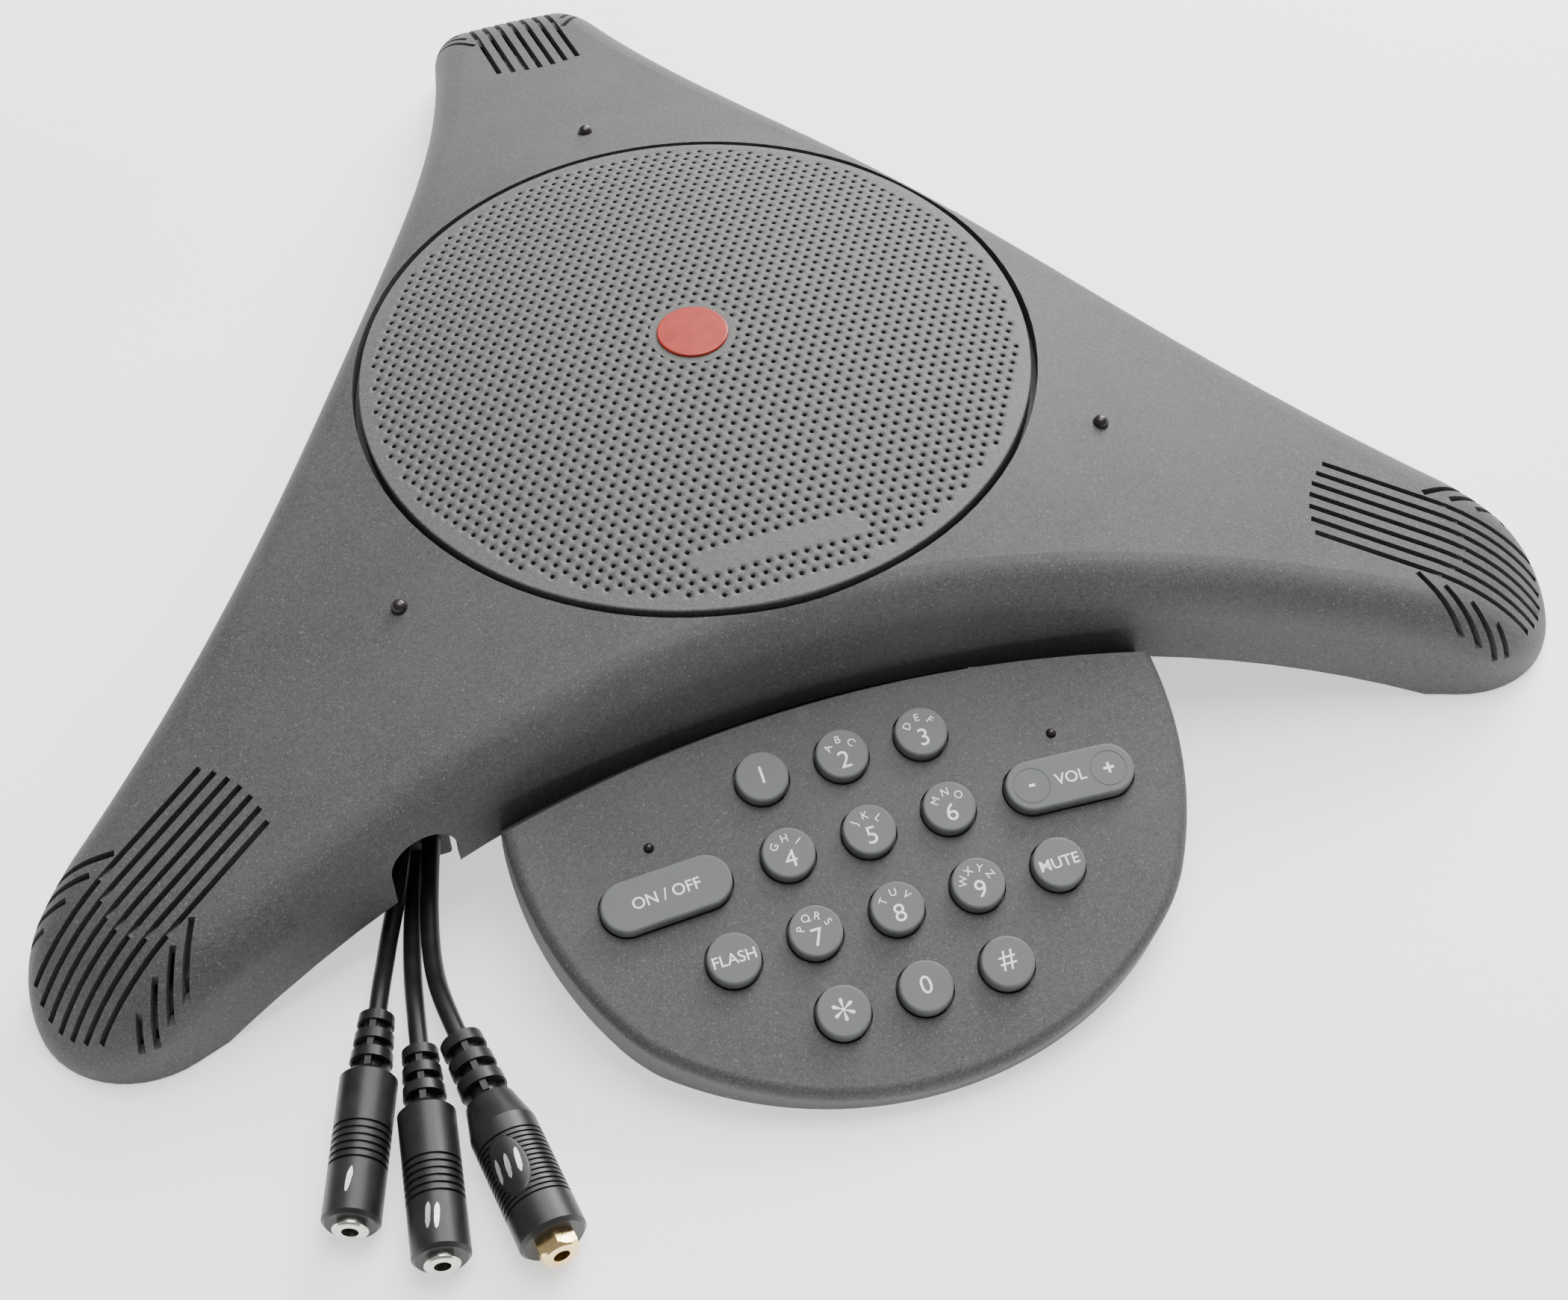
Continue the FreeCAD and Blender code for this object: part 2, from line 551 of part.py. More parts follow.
def make_key(name, place):
    length = place[2]
    flange_top = -PANEL_THICKNESS - (ROCKER_FLANGE_GAP if name == "volume_rocker" else KEY_FLANGE_GAP)
    cap = key_prism(length, KEY_RADIUS, flange_top - KEY_FLANGE_THICKNESS, KEY_PROUD)
    cap = cap.makeFillet(KEY_SOFT_EDGE, [e for e in cap.Edges if e.BoundBox.ZMin > KEY_PROUD - 0.1])
    flange = key_prism(length + 2 * KEY_FLANGE, KEY_RADIUS + KEY_FLANGE,
                       flange_top - KEY_FLANGE_THICKNESS, flange_top)
    key = cap.fuse(flange)
    if name == "volume_rocker":
        key = key.fuse(rocker_pin(ROCKER_PIN_RADIUS))
    return on_panel(placed_key(key.removeSplitter(), place))


def rocker_pin(radius):
    """Pin across the middle of the volume key, on the axis it rocks about."""
    start = vec(0, -ROCKER_PIN_REACH, -PANEL_THICKNESS - ROCKER_PIN_DROP)
    return Part.makeCylinder(radius, 2 * ROCKER_PIN_REACH, start, vec(0, 1, 0))


def rocker_lugs():
    """Two lugs on the panel's underside that carry the pin's ends."""
    lugs = [box(-ROCKER_LUG_HALF_WIDTH, ROCKER_LUG_HALF_WIDTH, y, y + ROCKER_LUG,
                -PANEL_THICKNESS - ROCKER_LUG_DEPTH, -PANEL_THICKNESS)
            for y in (-ROCKER_PIN_REACH, ROCKER_PIN_REACH - ROCKER_LUG)]
    return lugs[0].fuse(lugs[1])


def panel_screw_places():
    return [vec(u * side, v) for u, v in PANEL_SCREWS for side in (-1, 1)]


def housing_keep_out():
    """The housing's plan with a small gap, so that the panel stays in front of its wall."""
    return star_prism(WAIST + PANEL_GAP, TIP_RADIUS + PANEL_GAP, -10, 100)


def make_keypad_panel():
    block = panel_outline(0.0, -PANEL_DEPTH, 0.0)
    rounded = [e for e in block.Edges if e.BoundBox.ZMin > -0.01 and e.CenterOfMass.y < PANEL_WIDEST + 20]
    block = block.makeFillet(PANEL_EDGE_RADIUS, rounded)
    cavity = panel_outline(PANEL_THICKNESS, -PANEL_DEPTH - 10, -PANEL_THICKNESS)
    bosses = [disc(PANEL_BOSS_RADIUS, -PANEL_DEPTH + 3, -PANEL_THICKNESS, p) for p in panel_screw_places()]
    rocker = key_places()["volume_rocker"]
    holes = [placed_key(key_prism(p[2] + 2 * KEY_GAP, KEY_RADIUS + KEY_GAP, -30, 10), p)
             for p in key_places().values()]
    holes += [disc(KEY_LIGHT_RADIUS + FIT, -30, 10, vec(KEY_LIGHT[0] * s, KEY_LIGHT[1])) for s in (-1, 1)]
    holes.append(placed_key(rocker_pin(ROCKER_PIN_RADIUS + FIT), rocker))
    pilots = [disc(SCREW_RADIUS, -PANEL_DEPTH - 1, -PANEL_THICKNESS - 1, p) for p in panel_screw_places()]
    panel = on_panel(block).cut(on_panel(cavity).common(rear_zone(0.0)))
    panel = panel.fuse([on_panel(part) for part in bosses + [placed_key(rocker_lugs(), rocker)]])
    panel = panel.common(above(RIM_CLEARANCE))
    cuts = [on_panel(shape) for shape in holes + pilots] + [rear_bevel(), housing_keep_out()]
    return panel.cut(cuts).Solids[0]


def make_keypad_base():
    """Pan under the keypad with a neck that runs in under the housing's rim."""
    inset = PANEL_THICKNESS + FIT
    pan = on_panel(panel_outline(inset, -PANEL_DEPTH, -PANEL_DEPTH + 3.0))
    front = on_panel(panel_outline(inset, -PANEL_DEPTH, BOARD_BOTTOM - 0.6))
    front = front.common(box(-200, 200, -200, PANEL_ORIGIN_Y + 60, RIM_CLEARANCE, RIM_CLEARANCE + 1.8))
    pan = pan.common(above(RIM_CLEARANCE)).fuse(front).common(rear_zone(FIT))
    neck = box(-NECK_HALF_WIDTH, NECK_HALF_WIDTH, -PANEL_REAR - NECK_OVERLAP, -BASE_WAIST + 8,
               NECK_TOP - NECK_THICKNESS, NECK_TOP)
    pillars = [on_panel(disc(2.5, -PANEL_DEPTH + 2.0, BOARD_BOTTOM, vec(u, v))) for u in (-30, 30) for v in (9, 46)]
    pan = pan.fuse([neck.cut(star_prism(BASE_WAIST, BASE_TIP_RADIUS, 0, 60))] + pillars)
    cuts = [on_panel(disc(SCREW_RADIUS, -PANEL_DEPTH - 5, 0, p)) for p in panel_screw_places()]
    cuts += [on_panel(disc(PANEL_BOSS_RADIUS, -PANEL_DEPTH + 3.0, 0, p)) for p in panel_screw_places()]
    return pan.cut(cuts)


def board_blank(bottom, thickness):
    sheet = panel_outline(7.0, bottom, bottom + thickness).common(box(-66, 66, -9, 60, -40, 0))
    return sheet.cut([disc(PANEL_BOSS_RADIUS + 0.5, -40, 0, p) for p in panel_screw_places()])


def make_keypad_membrane():
    sheet = board_blank(MEMBRANE_TOP - MEMBRANE_THICKNESS, MEMBRANE_THICKNESS)
    holes = [disc(KEY_LIGHT_RADIUS + 0.6, -40, 0, vec(KEY_LIGHT[0] * s, KEY_LIGHT[1])) for s in (-1, 1)]
    return on_panel(sheet.cut(holes)).common(rear_zone(1.0))


def make_keypad_board():
    return on_panel(board_blank(BOARD_BOTTOM, BOARD_THICKNESS)).common(rear_zone(1.0))


def make_keypad_light(side):
    foot = MEMBRANE_TOP - MEMBRANE_THICKNESS
    place = vec(KEY_LIGHT[0] * side, KEY_LIGHT[1])
    stem = disc(KEY_LIGHT_RADIUS, foot, 0.1, place)
    return on_panel(stem.fuse(Part.makeSphere(KEY_LIGHT_RADIUS, place + vec(0, 0, 0.1))))


def make_keypad_screws():
    return on_panel(make_screws(panel_screw_places(), -PANEL_DEPTH, PANEL_DEPTH - PANEL_THICKNESS - 1.5))


# ---------------------------------------------------------------- leads
def rounded_path(points):
    """Straight runs joined by tangent arcs, each as large as its two runs allow."""
    corners = [vec(*p) for p in points]
    edges = []
    radii = []
    last = corners[0]
    for before, corner, after in zip(corners, corners[1:], corners[2:]):
        run_in, run_out = corner - before, after - corner
        half_turn = run_in.getAngle(run_out) / 2
        cut = 0.45 * min(run_in.Length, run_out.Length)
        radii.append(cut / math.tan(half_turn))
        back, ahead = vec(*run_in).normalize(), vec(*run_out).normalize()
        start, end = corner - back * cut, corner + ahead * cut
        inward = (ahead - back).normalize()
        depth = radii[-1] / math.cos(half_turn) - radii[-1]
        edges.append(Part.LineSegment(last, start).toShape())
        edges.append(Part.Arc(start, corner + inward * depth, end).toShape())
        last = end
    edges.append(Part.LineSegment(last, corners[-1]).toShape())
    return Part.Wire(edges), radii


def make_lead(name, diameter, points):
    path, radii = rounded_path(points)
    start = path.Edges[0]
    profile = Part.Wire(Part.makeCircle(diameter / 2, vec(*points[0]), start.tangentAt(start.FirstParameter)))
    tube = path.makePipeShell([profile], True, True)
    section = math.pi * diameter ** 2 / 4
    print(f"{name}: length {path.Length:.1f}, radii " + ", ".join(f"{r:.0f}" for r in radii)
          + f", volume {tube.Volume:.0f} against {section * path.Length:.0f}")
    return tube


def along_lead(shape, points):
    """A copy drawn along +X from the end of a lead, turned to the lead's last run."""
    last = vec(*points[-1])
    run = last - vec(*points[-2])
    copy = shape.copy()
    copy.rotate(vec(0, 0), UP, math.degrees(math.atan2(run.y, run.x)))
    copy.translate(last)
    return copy


def turned_profile(points):
    """Solid of revolution about X from (along, radius) corners."""
    corners = [vec(a, r) for a, r in points]
    return Part.Face(Part.makePolygon(corners + [corners[0]])).revolve(vec(0, 0), vec(1, 0, 0), 360)


BOOT_RINGS = 3


def make_boot(size):
    """Strain relief: rings on a thin core, with two struts each side between the rings."""
    pitch = size["boot"] / (BOOT_RINGS + 0.15)
    ring_length = pitch * 0.52
    grow = (size["boot_end"] - size["boot_start"]) / size["boot"]
    core = size["boot_start"] * 0.66
    parts = [turned_profile([(0, 0), (0, core), (size["boot"], core), (size["boot"], 0)])]
    for k in range(BOOT_RINGS):
        a = k * pitch
        b = a + ring_length
        parts.append(turned_profile([(a, 0), (a, size["boot_start"] + grow * a),
                                     (b, size["boot_start"] + grow * b), (b, 0)]))
        gap_end = min(b + pitch - ring_length, size["boot"])
        reach = size["boot_start"] + grow * b - 0.5
        parts.append(box(b, gap_end, -reach, reach, -0.7, 0.7))
        parts.append(box(b, gap_end, -0.7, 0.7, -reach, reach))
    return parts[0].fuse(parts[1:]).removeSplitter()


def make_socket_body(size):
    """Moulded barrel with grip grooves; bored for the socket's metal sleeve."""
    first, last = size["boot"], size["boot"] + size["body"]
    shoulder = first + max(size["taper"], 1.2)
    corners = [(first, 0), (first, size["neck"] - 1.2 if size["taper"] == 0 else size["neck"]),
               (shoulder, size["radius"]), (last - 0.8, size["radius"]), (last, size["radius"] - 0.8), (last, 0)]
    barrel = turned_profile(corners)
    grooves = []
    count, pitch, start = (6, 1.7, 13.5) if size["taper"] == 0 else (14, 1.2, 11.5)
    for k in range(count):
        a = first + start + k * pitch
        tool = turned_profile([(a, size["radius"] - 0.45), (a, size["radius"] + 1),
                               (a + pitch * 0.38, size["radius"] + 1), (a + pitch * 0.38, size["radius"] - 0.45)])
        grooves.append(tool)
    sleeve = turned_profile([(last - SOCKET_DEPTH, 0), (last - SOCKET_DEPTH, SLEEVE_RADIUS),
                             (last, SLEEVE_RADIUS), (last, 0)])
    return barrel.cut(grooves + [sleeve])


def make_socket_sleeve(size):
    """Metal sleeve with its collar, bored for a 3.5 mm plug."""
    last = size["boot"] + size["body"]
    end = last + size["collar_out"]
    if size["taper"] == 0:
        collar = turned_profile([(last, 0), (last, size["collar"]), (end - 0.4, size["collar"]),
                                 (end, size["collar"] - 0.4), (end, 0)])
    else:
        corners = [vec(last, size["collar"] * math.cos(math.radians(60 * k + 30)),
                       size["collar"] * math.sin(math.radians(60 * k + 30))) for k in range(7)]
        collar = Part.Face(Part.makePolygon(corners)).extrude(vec(size["collar_out"], 0, 0))
        round_end = turned_profile([(last, 0), (last, size["collar"] + 1), (end - 0.9, size["collar"] + 1),
                                    (end - 0.9, size["collar"] - 0.2), (end, size["collar"] - 0.9), (end, 0)])
        collar = collar.common(round_end)
    sleeve = turned_profile([(last - SOCKET_DEPTH, 0), (last - SOCKET_DEPTH, SLEEVE_RADIUS),
                             (last, SLEEVE_RADIUS), (last, 0)])
    bore = turned_profile([(last - SOCKET_DEPTH - 1, 0), (last - SOCKET_DEPTH - 1, SOCKET_BORE),
                           (end + 1, SOCKET_BORE), (end + 1, 0)])
    return sleeve.fuse(collar).cut(bore)


def make_lead_clamp():
    """Block on the tray's outer wall that grips the three leads."""
    starts = [route[1][0] for route in LEAD_ROUTES.values()]
    low = min(p[0] for p in starts) - CLAMP_MARGIN
    high = max(p[0] for p in starts) + CLAMP_MARGIN
    block = box(low, high, CLAMP_FRONT, CLAMP_FRONT + CLAMP_DEPTH, CLAMP_BOTTOM, CLAMP_BOTTOM + CLAMP_HEIGHT)
    upright = [e for e in block.Edges if e.BoundBox.ZLength > 1 and e.BoundBox.YMax < CLAMP_FRONT + 0.1]
    block = block.makeFillet(1.0, upright)
    return block.cut(star_prism(BASE_WAIST, BASE_TIP_RADIUS, 0, 60))


# ---------------------------------------------------------------- everything in its place
def build():
    nodes = {
        "top_housing": make_top_housing(),
        "base_plate": make_base_plate(),
        "housing_screws": make_screws(boss_places(), BASE_BOTTOM, SCREW_LENGTH - 1),
        "rubber_feet": make_rubber_feet(),
        "speaker_grille": make_speaker_grille(),
        "grille_badge": make_grille_badge(),
        "speaker_gasket": make_speaker_gasket(),
        "speaker_basket": make_speaker_basket(),
        "speaker_cone": make_speaker_cone(),
        "speaker_magnet": make_speaker_magnet(),
        "speaker_screws": make_screws(speaker_screw_places(), FLANGE_BOTTOM, 5.0),
        "main_board": make_main_board(),
        "keypad_panel": make_keypad_panel(),
        "keypad_base": make_keypad_base(),
        "keypad_membrane": make_keypad_membrane(),
        "keypad_board": make_keypad_board(),
        "keypad_screws": make_keypad_screws(),
        "keypad_light_left": make_keypad_light(-1),
        "keypad_light_right": make_keypad_light(1),
        "lead_clamp": make_lead_clamp(),
    }
    for arm, angle in ARM_ANGLES.items():
        nodes["microphone_" + arm] = make_microphone(angle)
        nodes["microphone_boot_" + arm] = make_microphone_boot(angle)
        nodes["status_light_" + arm] = make_status_light(angle)
    for name, place in key_places().items():
        nodes[name] = make_key(name, place)
    for name, (diameter, points) in LEAD_ROUTES.items():
        size = SLIM_SOCKET if diameter == SLIM_LEAD else STOUT_SOCKET
        nodes[name] = make_lead(name, diameter, points)
        nodes[name + "_boot"] = along_lead(make_boot(size), points)
        nodes[name + "_socket_body"] = along_lead(make_socket_body(size), points)
        nodes[name + "_socket_sleeve"] = along_lead(make_socket_sleeve(size), points)
    return nodes


def main():
    nodes = build()
    own = Part.makeCompound([shape for name, shape in nodes.items() if not name.startswith("lead_")])
    extent = own.optimalBoundingBox(False, False)
    middle = extent.Center
    os.makedirs("parts", exist_ok=True)
    for name, shape in nodes.items():
        moved = shape.copy()
        moved.translate(vec(-middle.x, -middle.y))
        moved.exportStep(f"parts/{name}.step")
        if not moved.isValid():
            print(name, "is not a valid shape")
    print(f"{len(nodes)} nodes, origin moved by y = {-middle.y:.3f}, size "
          f"{extent.XLength:.1f} x {extent.YLength:.1f} x {extent.ZLength:.1f}")


main()
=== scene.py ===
# %% [markdown]
# # A three-armed conference speakerphone
# The real object is a star-shaped plastic shell on a table, with a round speaker grille in its
# middle, a sloping keypad at its front edge and three short leads that end in in-line sockets.
# The moulded parts come in as exact solids, ready placed. This lesson adds what solids leave out:
# a grille with all its holes, soft leads, printed legends and the finish of every surface.

# %% Load the solid parts
import math
import random
import bmesh
import bpy
from mathutils import Matrix, Vector


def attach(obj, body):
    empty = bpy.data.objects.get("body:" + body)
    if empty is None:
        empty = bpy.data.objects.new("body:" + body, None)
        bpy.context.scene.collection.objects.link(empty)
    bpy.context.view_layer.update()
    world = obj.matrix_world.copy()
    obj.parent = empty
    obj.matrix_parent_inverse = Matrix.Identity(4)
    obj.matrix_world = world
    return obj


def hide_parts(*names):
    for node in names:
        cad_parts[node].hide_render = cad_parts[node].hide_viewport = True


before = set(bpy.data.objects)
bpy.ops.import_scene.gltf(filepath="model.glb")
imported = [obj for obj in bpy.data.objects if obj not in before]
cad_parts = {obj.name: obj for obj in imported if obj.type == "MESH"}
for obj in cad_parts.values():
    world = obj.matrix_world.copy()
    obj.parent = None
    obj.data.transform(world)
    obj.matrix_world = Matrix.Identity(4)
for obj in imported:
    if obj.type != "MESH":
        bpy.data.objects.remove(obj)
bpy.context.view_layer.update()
MM = 0.001

# %% [markdown]
# ## The camera
# A person standing at the keypad looks down at the phone from a little to the left. The camera
# has a long lens, so that the far arm doesn't shrink, and is aimed by three directions at right
# angles: its right, its up, and the way it looks.

# %% Camera
GRILLE_Y = -15.494          # the grille's axis, measured from the origin, in millimetres
EYE = Vector((-114.95, -446.14 + GRILLE_Y, 491.28)) * MM
LOOK = Vector((0.18634, 0.62083, -0.76148))
RIGHT = Vector((0.94756, -0.31840, -0.02771))

camera_data = bpy.data.cameras.new("camera")
camera_data.lens = 61.13
camera_data.sensor_width = 36.0
camera_data.clip_start = 0.01
camera = bpy.data.objects.new("camera", camera_data)
bpy.context.scene.collection.objects.link(camera)
up = RIGHT.cross(LOOK).normalized()
turn = Matrix((RIGHT, up, -LOOK)).transposed()
camera.matrix_world = Matrix.Translation(EYE) @ turn.to_4x4()
bpy.context.scene.camera = camera
print("camera height", round(camera.location.z, 3), "m")

# %% [markdown]
# ## The leads
# Each lead is a soft round cable that leaves a clamp under the shell, dips to the table and rises
# into its socket's boot. A smooth NURBS curve with a round bevel is the right tool: it bends the
# way cable does, and its thickness stays the same all along. The bevel's depth is one, so that each
# point's radius is the cable's own radius in metres.

# %% Leads
LEAD_POINTS = {
    "lead_a": (4.1, [(-95.9, -77.0, 7.6), (-98.2, -83.6, 6.8), (-101.2, -90.9, 4.9), (-104.5, -98.2, 3.9),
                     (-106.9, -105.2, 4.7), (-109.3, -112.2, 6.2), (-111.75, -119.3, 6.2)]),
    "lead_b": (4.1, [(-93.2, -76.5, 3.6), (-96.2, -86.5, 3.0), (-99.2, -97.0, 2.5),
                     (-101.7, -108.5, 3.6), (-103.4, -119.9, 6.3), (-105.0, -130.8, 6.3)]),
    "lead_c": (4.25, [(-89.2, -77.0, 7.6), (-92.4, -87.6, 6.6), (-95.3, -98.6, 5.0),
                      (-97.2, -109.8, 4.9), (-97.4, -121.4, 7.3), (-96.1, -131.9, 7.3)]),
}


def lead_curve(name, diameter, points):
    """One open NURBS spline through a lead's control points, as thick as the lead."""
    curve = bpy.data.curves.new(name + "_cable", "CURVE")
    curve.dimensions = "3D"
    spline = curve.splines.new("NURBS")
    spline.points.add(len(points) - 1)
    for point, (x, y, z) in zip(spline.points, points):
        point.co = (x * MM, (y + GRILLE_Y) * MM, z * MM, 1.0)
        point.radius = diameter / 2 * MM
    spline.order_u = 3
    spline.use_endpoint_u = True
    curve.resolution_u = 16
    curve.bevel_depth = 1.0
    curve.bevel_resolution = 8
    curve.use_fill_caps = True
    cable = bpy.data.objects.new(name + "_cable", curve)
    bpy.context.scene.collection.objects.link(cable)
    return cable


leads = {}
for name, (diameter, points) in LEAD_POINTS.items():
    leads[name] = lead_curve(name, diameter, points)
    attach(leads[name], "base")
    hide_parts(name)
print("leads:", ", ".join(leads))

# %% [markdown]
# ## Shader sums written as sums
# A finish in Blender is a tree of nodes. Wiring each Math node by hand hides what is worked out,
# so one small class wraps a node's output and gives it +, - and *, with a plain number on either
# side. Each sign adds the Math node that it stands for. Colours and vectors go through Mix and
# Vector Math nodes, because a Math node would turn a colour grey.

# %% The Signal class
class Signal:
    """A number, colour or vector on its way through a finish's node tree."""

    def __init__(self, finish, socket):
        self.finish = finish
        self.socket = socket

    def math(self, operation, first, second):
        return self.finish.node("ShaderNodeMath", {"operation": operation}, {0: first, 1: second})

    def __add__(self, other):
        return self.math("ADD", self, other)

    def __radd__(self, other):
        return self.math("ADD", other, self)

    def __sub__(self, other):
        return self.math("SUBTRACT", self, other)

    def __rsub__(self, other):
        return self.math("SUBTRACT", other, self)

    def __mul__(self, other):
        return self.math("MULTIPLY", self, other)

    def __rmul__(self, other):
        return self.math("MULTIPLY", other, self)


print("a signal knows +, - and *")

# %% [markdown]
# ## One material, one method
# Every finish starts from a principled shader. What is the same all over the surface is set on the
# shader's own sockets, and what changes comes from nodes. One method adds a node of any kind, and
# a few short ones name what the finishes use most: noise, specks, a held range and a blend.

# %% The Finish class
class Finish:
    """One material, with one method that adds any node to it."""

    def __init__(self, name, **constants):
        self.material = bpy.data.materials.new(name)
        self.material.use_nodes = True
        self.tree = self.material.node_tree
        self.tree.nodes.clear()
        self.shader = self.tree.nodes.new("ShaderNodeBsdfPrincipled")
        output = self.tree.nodes.new("ShaderNodeOutputMaterial")
        self.tree.links.new(self.shader.outputs[0], output.inputs[0])
        for socket, value in constants.items():
            self.shader.inputs[socket.replace("_", " ")].default_value = value
        self.place = self.node("ShaderNodeTexCoord", out="Object")

    def node(self, kind, settings=None, sockets=None, out=0):
        """Adds a node: its settings first, then its sockets' values or links."""
        node = self.tree.nodes.new(kind)
        for name, value in (settings or {}).items():
            setattr(node, name, value)
        for name, value in (sockets or {}).items():
            self.feed(node.inputs[name], value)
        return Signal(self, node.outputs[out])

    def feed(self, socket, value):
        """Links a signal to a socket, or writes a plain value in it."""
        if isinstance(value, Signal):
            self.tree.links.new(value.socket, socket)
        else:
            socket.default_value = value

    def noise(self, size, detail=2.0, roughness=0.5, place=None):
        """Cloudy values from 0 to 1, with blobs about size millimetres across."""
        sockets = {
            "Vector": place or self.place,
            "Scale": 1 / (size * MM),
            "Detail": detail,
            "Roughness": roughness,
        }
        return self.node("ShaderNodeTexNoise", {}, sockets)

    def specks(self, spacing, radius):
        """Small round specks, 1 inside and 0 outside, about spacing millimetres apart."""
        sockets = {"Vector": self.place, "Scale": 1 / (spacing * MM)}
        distance = self.node("ShaderNodeTexVoronoi", {}, sockets)
        return self.between(distance, radius / spacing, 0.5 * radius / spacing)

    def between(self, value, low, high):
        """0 at low and 1 at high, held there outside them."""
        sockets = {"Value": value, "From Min": low, "From Max": high}
        return self.node("ShaderNodeMapRange", {"clamp": True}, sockets)

    def blend(self, share, first, second):
        """A colour that goes from first to second as share goes from 0 to 1."""
        sockets = {"Factor": share, 6: first, 7: second}
        return self.node("ShaderNodeMix", {"data_type": "RGBA", "clamp_factor": True}, sockets, out=2)

    def stretch(self, x, y, z):
        """The place on the surface, with each direction scaled."""
        sockets = {0: self.place, 1: (x, y, z)}
        return self.node("ShaderNodeVectorMath", {"operation": "MULTIPLY"}, sockets)

    def bump(self, height, depth, strength):
        """Raises and lowers the surface by up to depth millimetres."""
        sockets = {"Height": height, "Distance": depth * MM, "Strength": strength}
        return self.node("ShaderNodeBump", {}, sockets)

    def surface(self, **sockets):
        """Feeds the shader and gives back the finished material."""
        for name, value in sockets.items():
            self.feed(self.shader.inputs[name.replace("_", " ")], value)
        return self.material


def grey(level, warm=0.0, green=0.0):
    """A grey of the given lightness, a little warmer or greener if asked."""
    return (level * (1 + warm), level * (1 + green), level * (1 - warm), 1.0)


print("a middle grey:", grey(0.2))

# %% [markdown]
# ## Spark-eroded plastic
# The shell and the keypad are moulded in dark grey plastic. The mould was etched by sparks, which
# leaves a fine sandy grain that sparkles a little and looks soft from afar. Two noises, with blobs
# of about a third of a millimetre and of one millimetre, make the grain's bump and its pale and
# dark grains. A third adds glints. Wide clouds, pale lint and faint rubbed patches stand for
# years of handling.

# %% Shell plastic
def sandy_plastic(name, dark, light, grain):
    """Dark plastic with a sandy grain, pale lint and rubbed patches."""
    finish = Finish(name, Specular_IOR_Level=0.42)
    fine = finish.noise(grain, 3.0, 0.62)
    coarse = finish.noise(grain * 3.2, 2.0, 0.55)
    clouds = finish.noise(38.0, 3.0, 0.6)
    grains = finish.between(fine * 0.75 + coarse * 0.25, 0.36, 0.64)
    base = finish.blend(grains, dark, light)
    glints = finish.between(finish.noise(grain * 1.4, 0.0), 0.70, 0.80)
    base = finish.blend(glints * 0.35, base, grey(0.26))
    base = finish.blend(finish.between(clouds, 0.35, 0.75) * 0.22, base, grey(0.135, 0.01))
    rubbed = finish.between(finish.noise(9.0, 4.0, 0.7, finish.stretch(1.0, 0.35, 1.0)), 0.66, 0.80)
    base = finish.blend(rubbed * 0.16, base, grey(0.20, 0.02))
    lint = finish.specks(7.5, 0.15)
    base = finish.blend(lint * 0.35, base, grey(0.36, 0.03))
    rough = 0.56 + fine * 0.12 - rubbed * 0.06
    normal = finish.bump(fine * 0.7 + coarse * 0.3, 0.10, 0.85)
    return finish.surface(Base_Color=base, Roughness=rough, Normal=normal)


shell_plastic = sandy_plastic("shell_plastic", grey(0.034, 0.02, 0.035), grey(0.090, 0.02, 0.035), 0.36)
grille_plastic = sandy_plastic("grille_plastic", grey(0.056, 0.01, 0.02), grey(0.142, 0.01, 0.02), 0.33)
print("finish:", shell_plastic.name, grille_plastic.name)

# %% [markdown]
# ## Silicone keys
# The keys are moulded in a blue-grey rubber that feels like dry skin. It has next to no grain, only
# a soft bloom that shines a little more where it is darker, and dust that clings. The legends are
# printed in white ink that has worn thin in small spots.

# %% Key rubber and legend ink
def silicone(name):
    """Blue-grey key rubber with a soft bloom and clinging dust."""
    finish = Finish(name, Specular_IOR_Level=0.38)
    bloom = finish.noise(7.0, 4.0, 0.6)
    fine = finish.noise(0.30, 2.0, 0.5)
    base = finish.blend(finish.between(bloom, 0.3, 0.7), (0.112, 0.120, 0.118, 1), (0.142, 0.151, 0.148, 1))
    base = finish.blend(finish.between(fine, 0.55, 0.75) * 0.22, base, (0.20, 0.208, 0.205, 1))
    base = finish.blend(finish.specks(3.4, 0.11) * 0.5, base, grey(0.42))
    rough = 0.50 + finish.between(bloom, 0.35, 0.7) * 0.14
    return finish.surface(Base_Color=base, Roughness=rough, Normal=finish.bump(fine, 0.02, 0.6))


def worn_ink(name):
    """White printing ink, darker and rougher where it has worn."""
    finish = Finish(name)
    worn = finish.between(finish.noise(0.5, 3.0, 0.6), 0.60, 0.78)
    base = finish.blend(worn * 0.45, (0.90, 0.91, 0.90, 1), (0.46, 0.47, 0.47, 1))
    return finish.surface(Base_Color=base, Roughness=0.5 + worn * 0.2, Normal=finish.bump(worn, 0.01, 0.5))


key_rubber = silicone("key_rubber")
legend_ink = worn_ink("legend_ink")
print("finish:", key_rubber.name, legend_ink.name)

# %% [markdown]
# ## Vinyl, rubber and moulded black
# Leads, boots and socket barrels are black vinyl with a low waxy gloss and fine pale dust. The
# feet and the soft seals are duller. The tray under the shell is plain moulded black.

